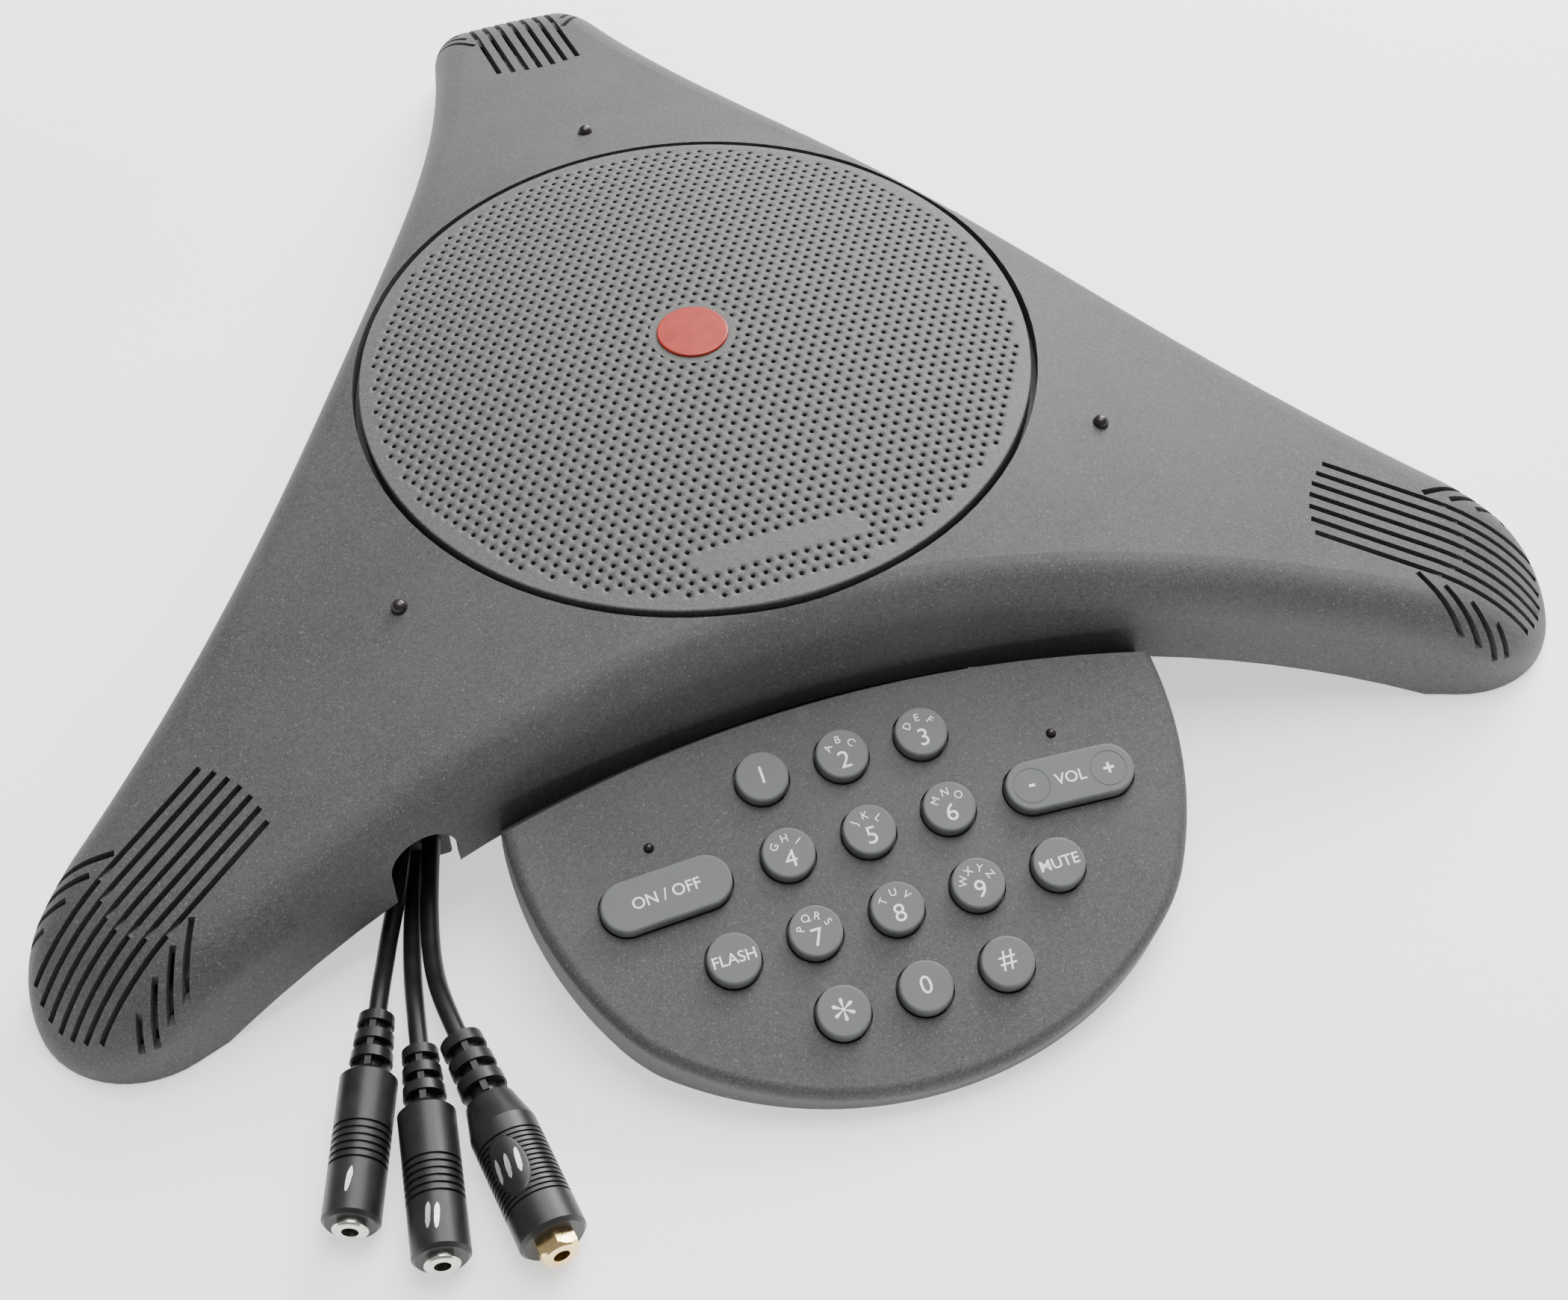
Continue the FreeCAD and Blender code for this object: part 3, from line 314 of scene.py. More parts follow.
# %% Dark soft finishes
def soft_black(name, dark, light, rough, grain, dust, depth):
    """A dark finish with a fine grain, clouds of wear and clinging dust."""
    finish = Finish(name, Specular_IOR_Level=0.45)
    clouds = finish.noise(6.0, 4.0, 0.6)
    fine = finish.noise(grain, 2.0, 0.5)
    base = finish.blend(finish.between(clouds, 0.3, 0.7), dark, light)
    base = finish.blend(finish.specks(2.6, 0.09) * dust, base, grey(0.36, 0.02))
    level = rough - 0.05 + finish.between(clouds, 0.3, 0.7) * 0.1 + fine * 0.06
    return finish.surface(Base_Color=base, Roughness=level, Normal=finish.bump(fine, depth, 0.7))


lead_vinyl = soft_black("lead_vinyl", grey(0.011), grey(0.018), 0.34, 0.5, 0.30, 0.012)
barrel_vinyl = soft_black("barrel_vinyl", grey(0.010), grey(0.019), 0.36, 0.35, 0.50, 0.020)
foot_rubber = soft_black("foot_rubber", grey(0.012), grey(0.022), 0.75, 0.6, 0.35, 0.030)
seal_foam = soft_black("seal_foam", grey(0.010), grey(0.020), 0.85, 0.9, 0.10, 0.200)
tray_plastic = soft_black("tray_plastic", grey(0.018), grey(0.030), 0.50, 0.4, 0.30, 0.040)
magnet_ferrite = soft_black("magnet_ferrite", grey(0.035), grey(0.055), 0.45, 1.2, 0.10, 0.080)
cone_paper = soft_black("cone_paper", grey(0.030, 0.1), grey(0.050, 0.1), 0.80, 0.8, 0.10, 0.120)
membrane_rubber = soft_black("membrane_rubber", grey(0.20), grey(0.26), 0.55, 0.6, 0.10, 0.020)
print("finish:", lead_vinyl.name, barrel_vinyl.name, foot_rubber.name, tray_plastic.name)

# %% [markdown]
# ## Metals
# Two sockets end in nickel-plated collars and the third in a gold-plated one. Plated metal keeps
# hair-fine scratches, so the roughness and the bump both follow a stretched noise. The same metal
# in other greys serves for the screws, the speaker's basket and the microphones.

# %% Metals
def plated(name, colour, tarnish, rough):
    """Bright metal with fine scratches and a little tarnish."""
    finish = Finish(name, Metallic=1.0)
    scratches = finish.noise(0.25, 4.0, 0.6, finish.stretch(1.0, 0.12, 1.0))
    stain = finish.between(finish.noise(2.4, 4.0, 0.65), 0.45, 0.80)
    base = finish.blend(stain * 0.6, colour, tarnish)
    level = rough + stain * 0.18 + scratches * 0.10
    return finish.surface(Base_Color=base, Roughness=level, Normal=finish.bump(scratches, 0.008, 0.5))


nickel = plated("nickel", (0.78, 0.76, 0.72, 1), (0.42, 0.40, 0.37, 1), 0.12)
gold = plated("gold", (0.93, 0.70, 0.34, 1), (0.62, 0.42, 0.18, 1), 0.14)
screw_zinc = plated("screw_zinc", (0.60, 0.61, 0.63, 1), (0.34, 0.34, 0.34, 1), 0.30)
basket_steel = plated("basket_steel", (0.28, 0.28, 0.29, 1), (0.16, 0.16, 0.16, 1), 0.42)
microphone_can = plated("microphone_can", (0.72, 0.72, 0.73, 1), (0.46, 0.46, 0.46, 1), 0.22)
print("finish:", nickel.name, gold.name, screw_zinc.name)

# %% [markdown]
# ## Badge, lenses and circuit boards
# A glossy enamel badge marks the middle of the grille. The lights are smoked lenses: almost black
# while they are off, with a thin clear coat. The boards under the shell carry green solder mask,
# with a brick pattern for their tracks. The silver marker paint is a dull metal.

# %% Small finishes
def enamel(name, dark, light):
    """A hard glossy finish under a thin clear coat, with a few specks of dust."""
    finish = Finish(name, Coat_Weight=0.15, Coat_Roughness=0.12)
    swirl = finish.noise(3.0, 3.0, 0.6)
    base = finish.blend(finish.between(swirl, 0.3, 0.7), dark, light)
    base = finish.blend(finish.specks(2.2, 0.07) * 0.4, base, grey(0.5))
    normal = finish.bump(swirl, 0.02, 0.3)
    return finish.surface(Base_Color=base, Roughness=0.30 + swirl * 0.12, Normal=normal)


def board_mask(name):
    """Green solder mask, paler between its tracks."""
    finish = Finish(name)
    bricks = {"Vector": finish.place, "Scale": 260.0, "Mortar Size": 0.03}
    tracks = finish.node("ShaderNodeTexBrick", {"offset": 0.37}, bricks, out="Fac")
    base = finish.blend(tracks, (0.012, 0.085, 0.030, 1), (0.030, 0.16, 0.065, 1))
    cloud = finish.noise(5.0)
    normal = finish.bump(tracks, 0.03, 0.4)
    return finish.surface(Base_Color=base, Roughness=0.30 + cloud * 0.2, Normal=normal)


badge_enamel = enamel("badge_enamel", (0.32, 0.010, 0.001, 1), (0.40, 0.016, 0.002, 1))
smoked_lens = enamel("smoked_lens", (0.008, 0.006, 0.006, 1), (0.020, 0.012, 0.012, 1))
board_green = board_mask("board_green")
marker_paint = plated("marker_paint", (0.80, 0.80, 0.80, 1), (0.48, 0.48, 0.48, 1), 0.38)
print("finish:", badge_enamel.name, smoked_lens.name, board_green.name)

# %% [markdown]
# ## Every solid part gets its finish
# Parts share finishes by what they are made of, so one list of names for each finish is enough.
# What the list leaves out is a key.

# %% Finishes on the solid parts
PART_FINISHES = [
    ("top_housing keypad_panel", shell_plastic),
    ("speaker_grille", grille_plastic),
    ("base_plate keypad_base lead_clamp", tray_plastic),
    ("housing_screws speaker_screws keypad_screws", screw_zinc),
    ("rubber_feet", foot_rubber),
    ("grille_badge", badge_enamel),
    ("speaker_gasket microphone_boot_rear microphone_boot_left microphone_boot_right", seal_foam),
    ("speaker_basket", basket_steel),
    ("speaker_cone", cone_paper),
    ("speaker_magnet", magnet_ferrite),
    ("main_board keypad_board", board_green),
    ("keypad_membrane", membrane_rubber),
    ("keypad_light_left keypad_light_right", smoked_lens),
    ("status_light_rear status_light_left status_light_right", smoked_lens),
    ("microphone_rear microphone_left microphone_right", microphone_can),
    ("lead_a_boot lead_b_boot lead_c_boot", lead_vinyl),
    ("lead_a_socket_body lead_b_socket_body lead_c_socket_body", barrel_vinyl),
    ("lead_a_socket_sleeve lead_b_socket_sleeve", nickel),
    ("lead_c_socket_sleeve", gold),
    ("lead_a lead_b lead_c", lead_vinyl),
]
part_finish = {part: finish for parts, finish in PART_FINISHES for part in parts.split()}
for name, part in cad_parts.items():
    part.data.materials.clear()
    part.data.materials.append(part_finish.get(name, key_rubber))
for cable in leads.values():
    cable.data.materials.append(lead_vinyl)
print("parts with the key finish:", sum(1 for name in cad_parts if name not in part_finish))

# %% [markdown]
# ## The perforated grille
# The grille is a shallow dome with over 2,300 round holes on a honeycomb pattern. Real holes catch the
# light on their rims and hide most of the near-black sheet of painted shade below, so they are cut as
# geometry. Boolean cuts would be slow and ragged. Instead each honeycomb cell is built whole: a hexagon
# outside, a circle inside, quads between, and a short wall down through the sheet.

# %% Grille sizes
DOME_RADIUS = 376.4         # of the sphere that the grille is a cap of
DOME_TOP = 66.3
GRILLE_RADIUS = 79.2
HOLE_PITCH = 2.95
ROW_PITCH = HOLE_PITCH * math.sqrt(3) / 2
HOLE_RADIUS = 0.56
SHEET = 1.2                 # thickness that shows inside the holes
BADGE_SEAT = 8.75           # radius of the seat that holds the badge
LABEL_FIELD = (-19.6, 17.9, -68.9, -62.4)       # a plain oblong: left, right, low, high


def dome_z(x, y):
    """Height of the grille's outer face."""
    return DOME_TOP - DOME_RADIUS + math.sqrt(DOME_RADIUS ** 2 - x * x - y * y)


def at(x, y, z):
    """A point in millimetres about the grille's axis, in the frame's metres."""
    return Vector((x, y + GRILLE_Y, z)) * MM


print("the dome falls", round(DOME_TOP - dome_z(GRILLE_RADIUS, 0), 2), "mm from its middle to its edge")

# %% [markdown]
# Neighbouring cells meet along their edges. A sheet keeps each corner under its rounded place, so
# that faces which meet there share it, and the finished surface has no cracks.

# %% Faces that share their corners
PLACES = 3                  # decimals of a millimetre to which two corners agree when they are one


class Sheet:
    """Collects faces whose corners are shared when they fall in the same place."""

    def __init__(self):
        self.mesh = bmesh.new()
        self.corners = {}

    def corner(self, x, y, z):
        key = (round(x, PLACES), round(y, PLACES), round(z, PLACES))
        if key not in self.corners:
            self.corners[key] = self.mesh.verts.new(at(x, y, z))
        return self.corners[key]

    def face(self, points, smooth=True):
        corners = list(dict.fromkeys(self.corner(*p) for p in points))
        if len(corners) > 2:
            self.mesh.faces.new(corners).smooth = smooth

    def finish(self, name, material):
        """Turns what was collected into an object."""
        return new_piece(name, self.mesh, material)


def new_piece(name, built, material):
    """An object in the scene from a mesh that was built here."""
    data = bpy.data.meshes.new(name)
    built.to_mesh(data)
    built.free()
    data.materials.append(material)
    piece = bpy.data.objects.new(name, data)
    bpy.context.scene.collection.objects.link(piece)
    return piece


print("corners are one when they agree to", PLACES, "decimals of a millimetre")

# %% Honeycomb cells
CELL_CORNER = HOLE_PITCH / math.sqrt(3)
CELL_MIDDLE = CELL_CORNER * math.cos(math.radians(30))
CELL = [CELL_MIDDLE, CELL_CORNER] * 6           # how far out the twelve points of a cell lie
HOLE = [HOLE_RADIUS] * 12
RIM_TUCK = 0.7              # the sheet ends this far inside the grille's edge, under the rim


def ring_of(cx, cy, reaches):
    """Twelve points round a cell's middle, each as far out as reaches says."""
    ring = []
    for k, reach in enumerate(reaches):
        angle = math.radians(30 * k)
        ring.append((cx + reach * math.cos(angle), cy + reach * math.sin(angle)))
    return ring


def held_inside(x, y):
    """The same place, or the nearest one inside the rolled rim."""
    reach = math.hypot(x, y)
    share = min(1.0, (GRILLE_RADIUS - RIM_TUCK) / reach) if reach else 1.0
    return x * share, y * share


print("honeycomb rows are", round(ROW_PITCH, 3), "mm apart")

# %% Punched sheet
PLAIN_RIM = 3.0             # no hole has its middle this near the grille's edge
PLAIN_SEAT = 1.2            # nor this near the badge's seat
PAST_RIM = 1.3              # a cell further out than this past the edge has nothing to show
UNDER_SEAT = 1.9            # nor has one this far inside the badge's seat


def add_cell(sheet, cx, cy):
    """Adds one cell, plain or with its hole, and gives back how many holes that made."""
    reach = math.hypot(cx, cy)
    ring = [held_inside(x, y) for x, y in ring_of(cx, cy, CELL)]
    left, right, low, high = LABEL_FIELD
    in_label = left < cx < right and low < cy < high
    if in_label or reach > GRILLE_RADIUS - PLAIN_RIM or reach < BADGE_SEAT + PLAIN_SEAT:
        plain = list(dict.fromkeys((round(x, PLACES), round(y, PLACES)) for x, y in ring))
        sheet.face([(x, y, dome_z(x, y)) for x, y in plain])
        return 0
    hole = ring_of(cx, cy, HOLE)
    for k in range(12):
        a, b = ring[k], ring[(k + 1) % 12]
        c, d = hole[(k + 1) % 12], hole[k]
        sheet.face([(*p, dome_z(*p)) for p in (a, b, c, d)])
        zc, zd = dome_z(*c), dome_z(*d)
        sheet.face([(*d, zd), (*c, zc), (*c, zc - SHEET), (*d, zd - SHEET)], smooth=False)
    return 1


def punched_sheet():
    """The domed sheet with its holes; the badge seat and the label field stay plain."""
    sheet = Sheet()
    rows = int(GRILLE_RADIUS / ROW_PITCH) + 1
    columns = int(GRILLE_RADIUS / HOLE_PITCH) + 2
    holes = 0
    for row in range(-rows, rows + 1):
        for column in range(-columns, columns + 1):
            cx, cy = (column + 0.5 * (row % 2)) * HOLE_PITCH, row * ROW_PITCH
            if BADGE_SEAT - UNDER_SEAT <= math.hypot(cx, cy) <= GRILLE_RADIUS + PAST_RIM:
                holes += add_cell(sheet, cx, cy)
    print("holes:", holes)
    return sheet.finish("grille_sheet", grille_plastic)


grille_sheet = punched_sheet()
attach(grille_sheet, "base")
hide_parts("speaker_grille")

# %% [markdown]
# The sheet's ragged outer and inner edges are covered by two turned rings: a rolled rim that drops into the
# well, and the pressed seat that the badge sits in. A near-black sheet under the holes is painted shade: it
# stands for the dark inside the shell, so that each hole looks deep.

# %% Rim, badge seat and sheet of painted shade
def lathe(profile, name, material, steps=160):
    """Turns a profile of (radius, height) corners about the grille's axis."""
    sheet = Sheet()
    for i in range(steps):
        a, b = 2 * math.pi * i / steps, 2 * math.pi * ((i + 1) % steps) / steps
        for (r0, z0), (r1, z1) in zip(profile, profile[1:]):
            lower = [(r0 * math.cos(a), r0 * math.sin(a), z0), (r0 * math.cos(b), r0 * math.sin(b), z0)]
            upper = [(r1 * math.cos(b), r1 * math.sin(b), z1), (r1 * math.cos(a), r1 * math.sin(a), z1)]
            sheet.face(lower + upper)
    return sheet.finish(name, material)


def dome_profile(r0, r1, lift, steps=4):
    """Corners that follow the dome from one radius to another, lifted a little."""
    radii = [r0 + (r1 - r0) * i / steps for i in range(steps + 1)]
    return [(r, dome_z(r, 0) + lift) for r in radii]


PROUD = 0.03                # both rings lie this far above the sheet
RIM_ROLL = 0.5              # radius of the rolled edge
RIM_FOOT = 52.05            # height at which the rim ends, just above the well's floor
rim_profile = dome_profile(GRILLE_RADIUS - 2.6, GRILLE_RADIUS - RIM_ROLL, PROUD)
roll_z = dome_z(GRILLE_RADIUS - RIM_ROLL, 0) + PROUD - RIM_ROLL
for k in range(1, 7):
    angle = math.radians(15 * k)
    out, rise = RIM_ROLL * math.sin(angle), RIM_ROLL * math.cos(angle)
    rim_profile.append((GRILLE_RADIUS - RIM_ROLL + out, roll_z + rise))
rim_profile += [(GRILLE_RADIUS, RIM_FOOT), (GRILLE_RADIUS - 1.2, RIM_FOOT)]
grille_rim = lathe(rim_profile, "grille_rim", grille_plastic)

SEAT_WALL = BADGE_SEAT - 0.3
SEAT_FLOOR = DOME_TOP - 0.8
seat_edge = dome_z(BADGE_SEAT, 0)
seat_profile = [(0.0, SEAT_FLOOR), (SEAT_WALL, SEAT_FLOOR), (SEAT_WALL, seat_edge - 0.25)]
seat_profile.append((BADGE_SEAT - 0.1, seat_edge - 0.02))
seat_profile += dome_profile(BADGE_SEAT + 0.2, BADGE_SEAT + 1.5, PROUD)
badge_seat = lathe(seat_profile, "badge_seat", grille_plastic, 96)

SHADE_SHEET_GAP = 0.1             # between the sheet's underside and the sheet of painted shade
shade_sheet_radii = (BADGE_SEAT, 20, 32, 44, 56, 66, GRILLE_RADIUS - 1.4)
shade_sheet_profile = [(r, dome_z(r, 0) - SHEET - SHADE_SHEET_GAP) for r in shade_sheet_radii]
# A near-black sheet under the holes: painted shade that stands for the dark inside the shell.
painted_shade_finish = soft_black("grille_cloth_black", grey(0.004), grey(0.008), 0.9, 0.5, 0.0, 0.1)
grille_cloth = lathe(shade_sheet_profile, "grille_cloth", painted_shade_finish)
for piece in (grille_rim, badge_seat, grille_cloth):
    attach(piece, "base")
print("turned:", grille_rim.name, badge_seat.name, grille_cloth.name)

# %% [markdown]
# ## Legends on the keys
# Each key has a pale number with its letters on an arc above, or a short word. Text objects give
# clean outlines; they are turned into thin raised meshes, as thick as a layer of ink, placed on
# the key's face and joined, one mesh per key, so that they go down with the key.

# %% Keypad directions
PANEL_TILT = math.radians(16.5)
PANEL_ORIGIN = Vector((0.0, -156.6 + GRILLE_Y, 13.6))
ALONG = Vector((1.0, 0.0, 0.0))
UPHILL = Vector((0.0, math.cos(PANEL_TILT), math.sin(PANEL_TILT)))
OUTWARD = ALONG.cross(UPHILL)
KEY_TOP = 2.7
KEY_PITCH = 18.5


def panel_matrix(u, v, w, turn=0.0):
    """Places something drawn flat about its own origin on the keypad, in metres."""
    axes = Matrix((ALONG, UPHILL, OUTWARD)).transposed().to_4x4()
    place = (PANEL_ORIGIN + ALONG * u + UPHILL * v + OUTWARD * w) * MM
    return Matrix.Translation(place) @ axes @ Matrix.Rotation(math.radians(turn), 4, "Z")


print("keypad faces", tuple(round(c, 3) for c in OUTWARD))

# %% Legend meshes
INK = 0.03                  # thickness of the printed ink
CAPITAL = 0.7               # a capital's height as a share of the text's size


def text_mesh(words, height, weight=0.0):
    """Flat outlines of a word, centred, as a mesh in metres."""
    curve = bpy.data.curves.new("legend_outline", "FONT")
    curve.body = words
    curve.size = height * MM / CAPITAL
    curve.align_x = "CENTER"
    curve.extrude = INK / 2 * MM
    curve.offset = weight * MM
    curve.resolution_u = 6
    holder = bpy.data.objects.new("legend_outline", curve)
    bpy.context.scene.collection.objects.link(holder)
    bpy.context.view_layer.update()
    ready = holder.evaluated_get(bpy.context.evaluated_depsgraph_get())
    mesh = bpy.data.meshes.new_from_object(ready)
    bpy.data.objects.remove(holder)
    bpy.data.curves.remove(curve)
    low = min(v.co.y for v in mesh.vertices)
    high = max(v.co.y for v in mesh.vertices)
    left = min(v.co.x for v in mesh.vertices)
    right = max(v.co.x for v in mesh.vertices)
    mesh.transform(Matrix.Translation((-(left + right) / 2, -(low + high) / 2, 0)))
    return mesh


def join_meshes(name, placed, material):
    """One object from (mesh, matrix) pairs."""
    joined = bmesh.new()
    for mesh, matrix in placed:
        mesh.transform(matrix)
        joined.from_mesh(mesh)
        bpy.data.meshes.remove(mesh)
    return new_piece(name, joined, material)


def on_key(u, v, turn, dx=0.0, dy=0.0, spin=0.0):
    """A place on a key's face, dx and dy millimetres from its middle."""
    inner = Matrix.Translation((dx * MM, dy * MM, 0)) @ Matrix.Rotation(math.radians(spin), 4, "Z")
    return panel_matrix(u, v, KEY_TOP + INK / 2, turn) @ inner


print("ink is", INK, "mm thick on keys that stand", KEY_TOP, "mm proud")

# %% Numbers and letters
LETTERS = {
    "2": "ABC", "3": "DEF", "4": "GHI", "5": "JKL",
    "6": "MNO", "7": "PQRS", "8": "TUV", "9": "WXYZ",
}
ROWS = ("*0#", "789", "456", "123")             # from the front edge upwards
KEY_NAMES = {"*": "key_star", "#": "key_hash"}
NUMBER_HEIGHT = 4.0
SIGN_HEIGHTS = {"*": 8.0, "#": 4.4}
NUMBER_DROP = -1.45         # a number under its letters sits below the key's middle
LONE_RISE = 0.3
LETTER_HEIGHT = 1.75
LETTER_RING = 3.35          # radius of the arc that the letters stand on
for row, signs in enumerate(ROWS):
    for column, sign in enumerate(signs):
        u, v = (column - 1) * KEY_PITCH, row * KEY_PITCH
        letters = LETTERS.get(sign, "")
        rise = NUMBER_DROP if letters else LONE_RISE
        height = SIGN_HEIGHTS.get(sign, NUMBER_HEIGHT)
        placed = [(text_mesh(sign, height), on_key(u, v, 0, 0, rise))]
        step = 46 if len(letters) == 4 else 54
        for i, letter in enumerate(letters):
            bearing = 90 + step * ((len(letters) - 1) / 2 - i)
            dx = LETTER_RING * math.cos(math.radians(bearing))
            dy = LETTER_RING * math.sin(math.radians(bearing))
            placed.append((text_mesh(letter, LETTER_HEIGHT), on_key(u, v, 0, dx, dy, bearing - 90)))
        body = KEY_NAMES.get(sign, "key_" + sign)
        legend = join_meshes("legend_" + body, placed, legend_ink)
        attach(legend, body)
print("number keys lettered:", sum(len(signs) for signs in ROWS))

# %% Words on the side keys
ROUND_U, ROUND_V = 37.0, 17.8           # the round side keys: across the panel and up its slope
BAR_U, BAR_V, BAR_TURN = 46.4, 35.8, 3.0        # the long keys, turned a little to the sides
PRESS_SHIFT = 8.9           # from the volume key's middle to where each end is pressed
SIDE_WORDS = [
    ("key_flash", (-ROUND_U, ROUND_V, 0.0), 2.5, [("FLASH", 0.0)]),
    ("key_mute", (ROUND_U, ROUND_V, 0.0), 2.5, [("MUTE", 0.0)]),
    ("key_on_off", (-BAR_U, BAR_V, BAR_TURN), 2.6, [("ON / OFF", 0.0)]),
    ("volume_rocker", (BAR_U, BAR_V, -BAR_TURN), 2.6,
     [("VOL", 0.0), ("-", -PRESS_SHIFT), ("+", PRESS_SHIFT)]),
]
for body, place, height, words in SIDE_WORDS:
    placed = []
    for word, shift in words:
        if len(word) == 1:
            mesh = text_mesh(word, height * 1.3, 0.10)
        else:
            mesh = text_mesh(word, height, 0.03)
        placed.append((mesh, on_key(*place, shift)))
    legend = join_meshes("legend_" + body, placed, legend_ink)
    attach(legend, body)
print("side keys lettered:", len(SIDE_WORDS))

# %% [markdown]
# The volume key is one long rocker. Two faint raised circles near its ends show where to press.
# A thin torus, mostly sunk in the key, makes each circle.

# %% Circles on the volume key
def thin_ring(radius, wire, steps=72, around=8):
    """A thin torus about its own origin, as a mesh in metres."""
    mesh = bpy.data.meshes.new("ring")
    built = bmesh.new()
    loops = []
    for i in range(steps):
        a = 2 * math.pi * i / steps
        loop = []
        for j in range(around):
            b = 2 * math.pi * j / around
            r = radius + wire * math.cos(b)
            x, y, z = r * math.cos(a), r * math.sin(a), wire * math.sin(b)
            loop.append(built.verts.new((x * MM, y * MM, z * MM)))
        loops.append(loop)
    for i in range(steps):
        first, second = loops[i], loops[(i + 1) % steps]
        for j in range(around):
            k = (j + 1) % around
            built.faces.new([first[j], second[j], second[k], first[k]]).smooth = True
    built.to_mesh(mesh)
    built.free()
    return mesh


RING_RADIUS = 4.05
RING_WIRE = 0.09
ring_places = []
for shift in (-PRESS_SHIFT, PRESS_SHIFT):
    ring_places.append((thin_ring(RING_RADIUS, RING_WIRE), on_key(BAR_U, BAR_V, -BAR_TURN, shift)))
press_circles = join_meshes("press_circles", ring_places, key_rubber)
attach(press_circles, "volume_rocker")
print("press circles:", len(ring_places))

# %% [markdown]
# ## Marks on the sockets
# Someone told the sockets apart with silver paint. Here they carry plain tally strokes: one, two
# and three. Each stroke is a thin strip that follows the barrel, with an uneven width and soft ends.

# %% Tally strokes
def socket_axes(name):
    """Where a lead ends, and the direction it points."""
    points = LEAD_POINTS[name][1]
    end, before = Vector(points[-1]), Vector(points[-2])
    return end, (end - before).normalized()


def paint_stroke(name, along, bearing, length, radius, slant, rng):
    """A painted strip round a barrel: along and length in millimetres, bearing in degrees."""
    end, run = socket_axes(name)
    side = run.cross(Vector((0, 0, 1))).normalized()
    built = bmesh.new()
    previous = None
    steps = 14
    for i in range(steps + 1):
        t = i / steps
        half = 0.50 * (1 - abs(2 * t - 1) ** 4) + 0.05 + rng.uniform(-0.06, 0.06)
        middle = along + length * t
        pair = []
        for sign in (-1, 1):
            angle = math.radians(bearing + slant * (t - 0.5)) + sign * half / radius
            reach = radius + 0.03
            offset = side * math.sin(angle) * reach + Vector((0, 0, 1)) * math.cos(angle) * reach
            point = end + run * middle + offset
            pair.append(built.verts.new(at(*point)))
        if previous:
            built.faces.new([previous[0], previous[1], pair[1], pair[0]]).smooth = True
        previous = pair
    mesh = bpy.data.meshes.new("stroke")
    built.to_mesh(mesh)
    built.free()
    return mesh


SLIM_BOOT = 14.6            # length of the boots before the slim barrels
STOUT_BOOT = 16.9           # and before the stout one
STROKE = 5.8
STROKE_STEP = 18            # degrees from one stroke to the next
STROKE_SLANT = 6            # degrees that a stroke winds round the barrel
PAD_BEARING = 22.0          # degrees from the barrel's top to the middle of its label pad
TALLIES = {
    "lead_a": (1, SLIM_BOOT + 25.0, 4.0, 6.2),
    "lead_b": (2, SLIM_BOOT + 25.0, 4.0, 6.2),
    "lead_c": (3, STOUT_BOOT + 16.2, PAD_BEARING, 7.45),
}
rng = random.Random(4)
tally_pieces = {}
for name, (count, along, facing, radius) in TALLIES.items():
    strokes = []
    for i in range(count):
        bearing = facing + (i - (count - 1) / 2) * STROKE_STEP + rng.uniform(-2, 2)
        begin = along + rng.uniform(-0.4, 0.4)
        stroke = paint_stroke(name, begin, bearing, STROKE, radius, STROKE_SLANT, rng)
        strokes.append((stroke, Matrix.Identity(4)))
    tally_pieces[name] = join_meshes(name + "_tally", strokes, marker_paint)
    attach(tally_pieces[name], "base")
print("tallies:", {name: tally[0] for name, tally in TALLIES.items()})

# %% [markdown]
# The stout socket has fine ribs with a smooth oval pad on top, where a label would go. The pad
# is a patch of the barrel's own cylinder, raised by about a tenth of a millimetre.

# %% Label pad
def label_pad(name, along, bearing, radius, half_length, half_width, lift):
    """An oval patch on a barrel, highest in the middle, with its edge sunk in."""
    end, run = socket_axes(name)
    side = run.cross(Vector((0, 0, 1))).normalized()
    built = bmesh.new()

    def spot(s, t, raised):
        angle = math.radians(bearing) + t / radius
        reach = radius + raised
        offset = side * math.sin(angle) * reach + Vector((0, 0, 1)) * math.cos(angle) * reach
        return built.verts.new(at(*(end + run * (along + s) + offset)))

    rings = []
    bands = ((0.25, lift + 0.02), (0.55, lift + 0.01), (0.85, lift), (0.96, lift - 0.04), (1.0, -0.35))
    for share, raised in bands:
        ring = []
        for k in range(48):
            angle = 2 * math.pi * k / 48
            s, t = half_length * share * math.cos(angle), half_width * share * math.sin(angle)
            ring.append(spot(s, t, raised))
        rings.append(ring)
    middle = spot(0, 0, lift + 0.02)
    for k in range(48):
        n = (k + 1) % 48
        built.faces.new([middle, rings[0][k], rings[0][n]]).smooth = True
        for inner, outer in zip(rings, rings[1:]):
            built.faces.new([inner[k], outer[k], outer[n], inner[n]]).smooth = True
    bmesh.ops.recalc_face_normals(built, faces=built.faces)
    return new_piece(name + "_label_pad", built, barrel_vinyl)


STOUT_RADIUS = 7.3
pad = label_pad("lead_c", STOUT_BOOT + 19.0, PAD_BEARING, STOUT_RADIUS, 7.4, 4.4, 0.08)
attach(pad, "base")
print("label pad on lead_c")
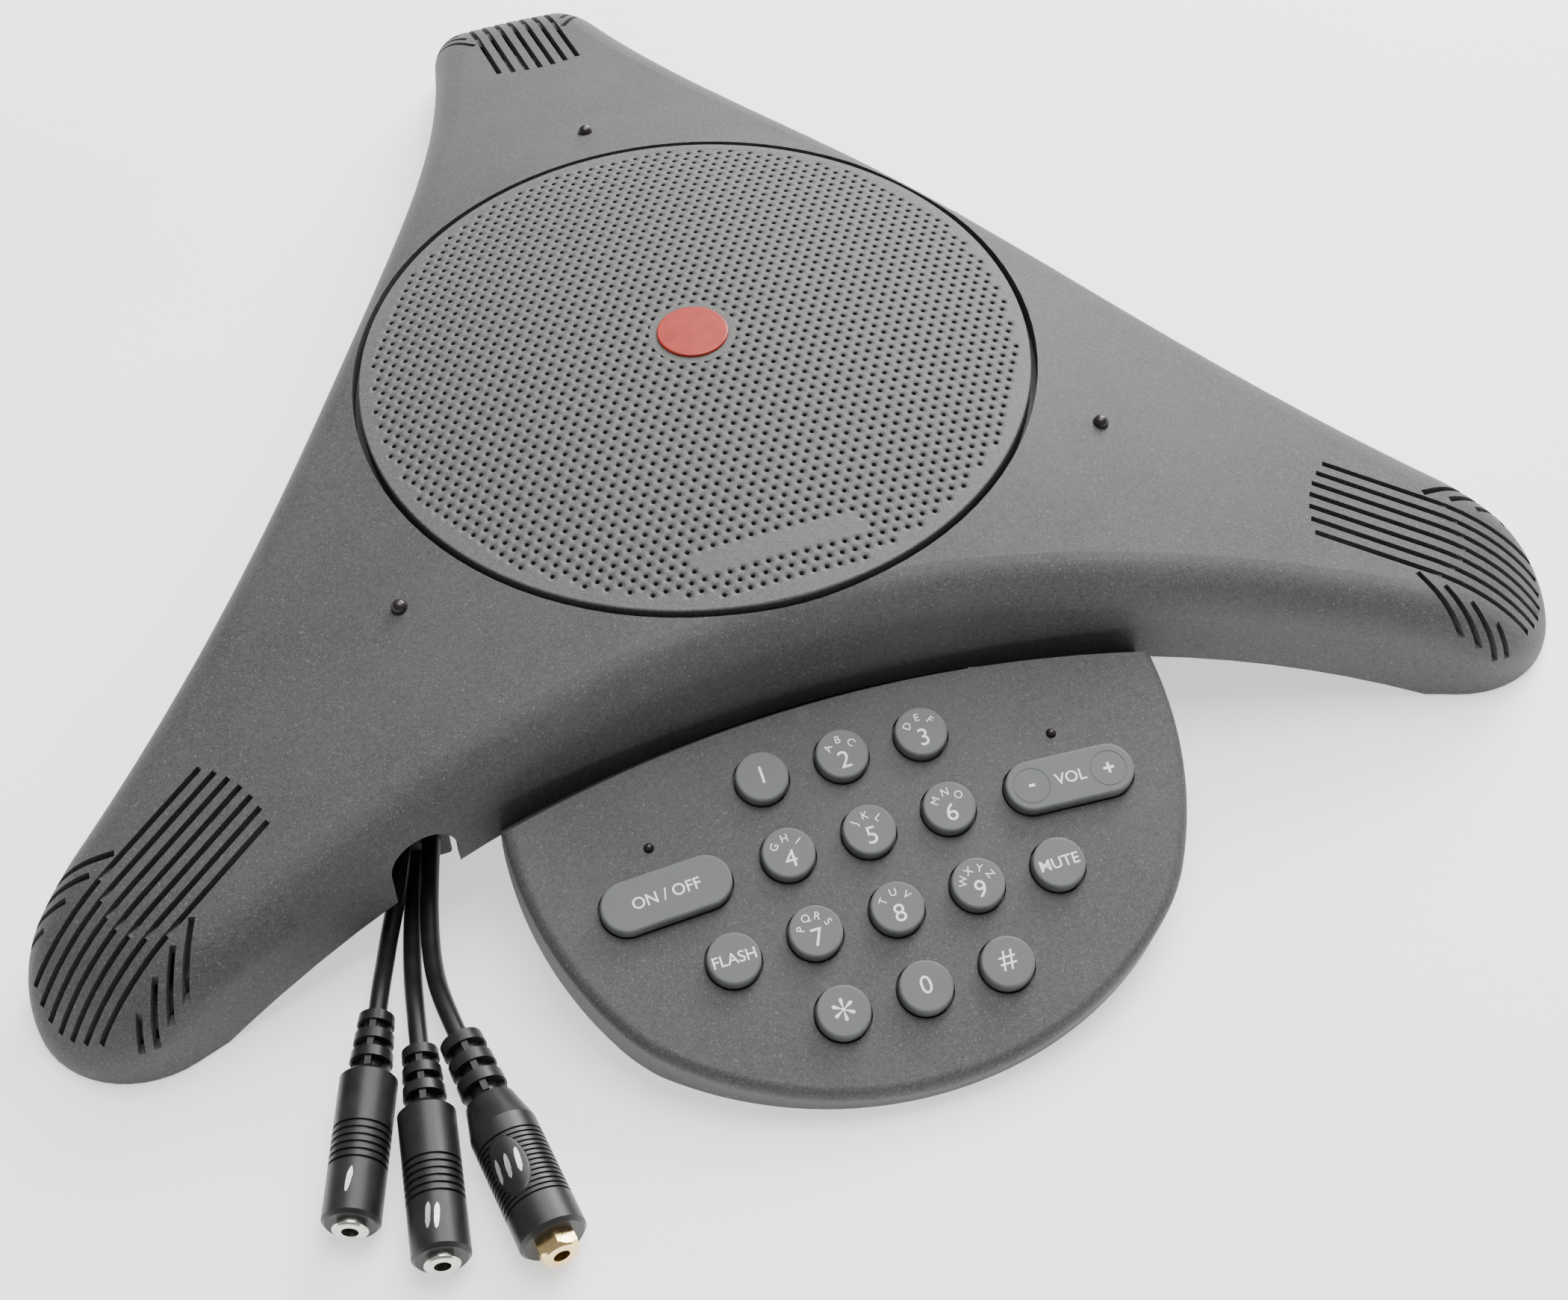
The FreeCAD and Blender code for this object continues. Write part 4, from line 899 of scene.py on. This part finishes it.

# %% [markdown]
# ## The pieces on each lead
# The boot, the barrel and the metal collar are the pieces on each lead. They are gathered in a list with
# its tally strokes, and with the label pad on the stout one.

for name, (diameter, points) in LEAD_POINTS.items():
    pieces = [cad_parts[name + part] for part in ("_boot", "_socket_body", "_socket_sleeve")]
    pieces.append(tally_pieces[name])
    if name == "lead_c":
        pieces.append(pad)
    tuple(at(*points[0]))

# %% [markdown]
# ## Floor and light
# The phone stands on a plain white table that glows a little, as a lit backdrop does. A soft
# light hangs behind it on the right and a wider one above, so that the tops of the arms look
# paler than the walls that face the camera; the room itself gives the rest.

# %% Floor
TABLE_REACH = 3             # metres from the phone to each side of the table


def table_top():
    """One large white square, level with the phone's feet."""
    built = bmesh.new()
    corners = [(x * TABLE_REACH, y * TABLE_REACH, 0) for x, y in ((-1, -1), (1, -1), (1, 1), (-1, 1))]
    built.faces.new([built.verts.new(corner) for corner in corners])
    finish = Finish("table_paint")
    cloud = finish.noise(120.0, 3.0, 0.5)
    base = finish.blend(finish.between(cloud, 0.3, 0.7), (0.93, 0.93, 0.92, 1), (0.96, 0.96, 0.955, 1))
    finish.shader.inputs["Emission Strength"].default_value = 1.0
    paint = finish.surface(Base_Color=base, Roughness=0.55 + cloud * 0.1, Emission_Color=base)
    return new_piece("table_top", built, paint)


table_top()
print("table placed")

# %% Lights
def soft_light(name, place, target, width, height, power):
    """A rectangular light that faces a target."""
    data = bpy.data.lights.new(name, "AREA")
    data.shape = "RECTANGLE"
    data.size = width
    data.size_y = height
    data.energy = power
    light = bpy.data.objects.new(name, data)
    light.location = place
    light.rotation_euler = (Vector(target) - Vector(place)).to_track_quat("-Z", "Y").to_euler()
    bpy.context.scene.collection.objects.link(light)
    return light


soft_light("back_window", (1.05, 1.05, 0.95), (0.03, 0, 0), 1.1, 0.8, 52.0)
soft_light("ceiling", (0.3, 0.25, 1.7), (0, 0, 0), 1.3, 1.3, 38.0)
world = bpy.data.worlds.new("room")
world.use_nodes = True
room_light = world.node_tree.nodes["Background"].inputs
room_light["Color"].default_value = (1.0, 1.0, 1.0, 1.0)
room_light["Strength"].default_value = 0.36
bpy.context.scene.world = world
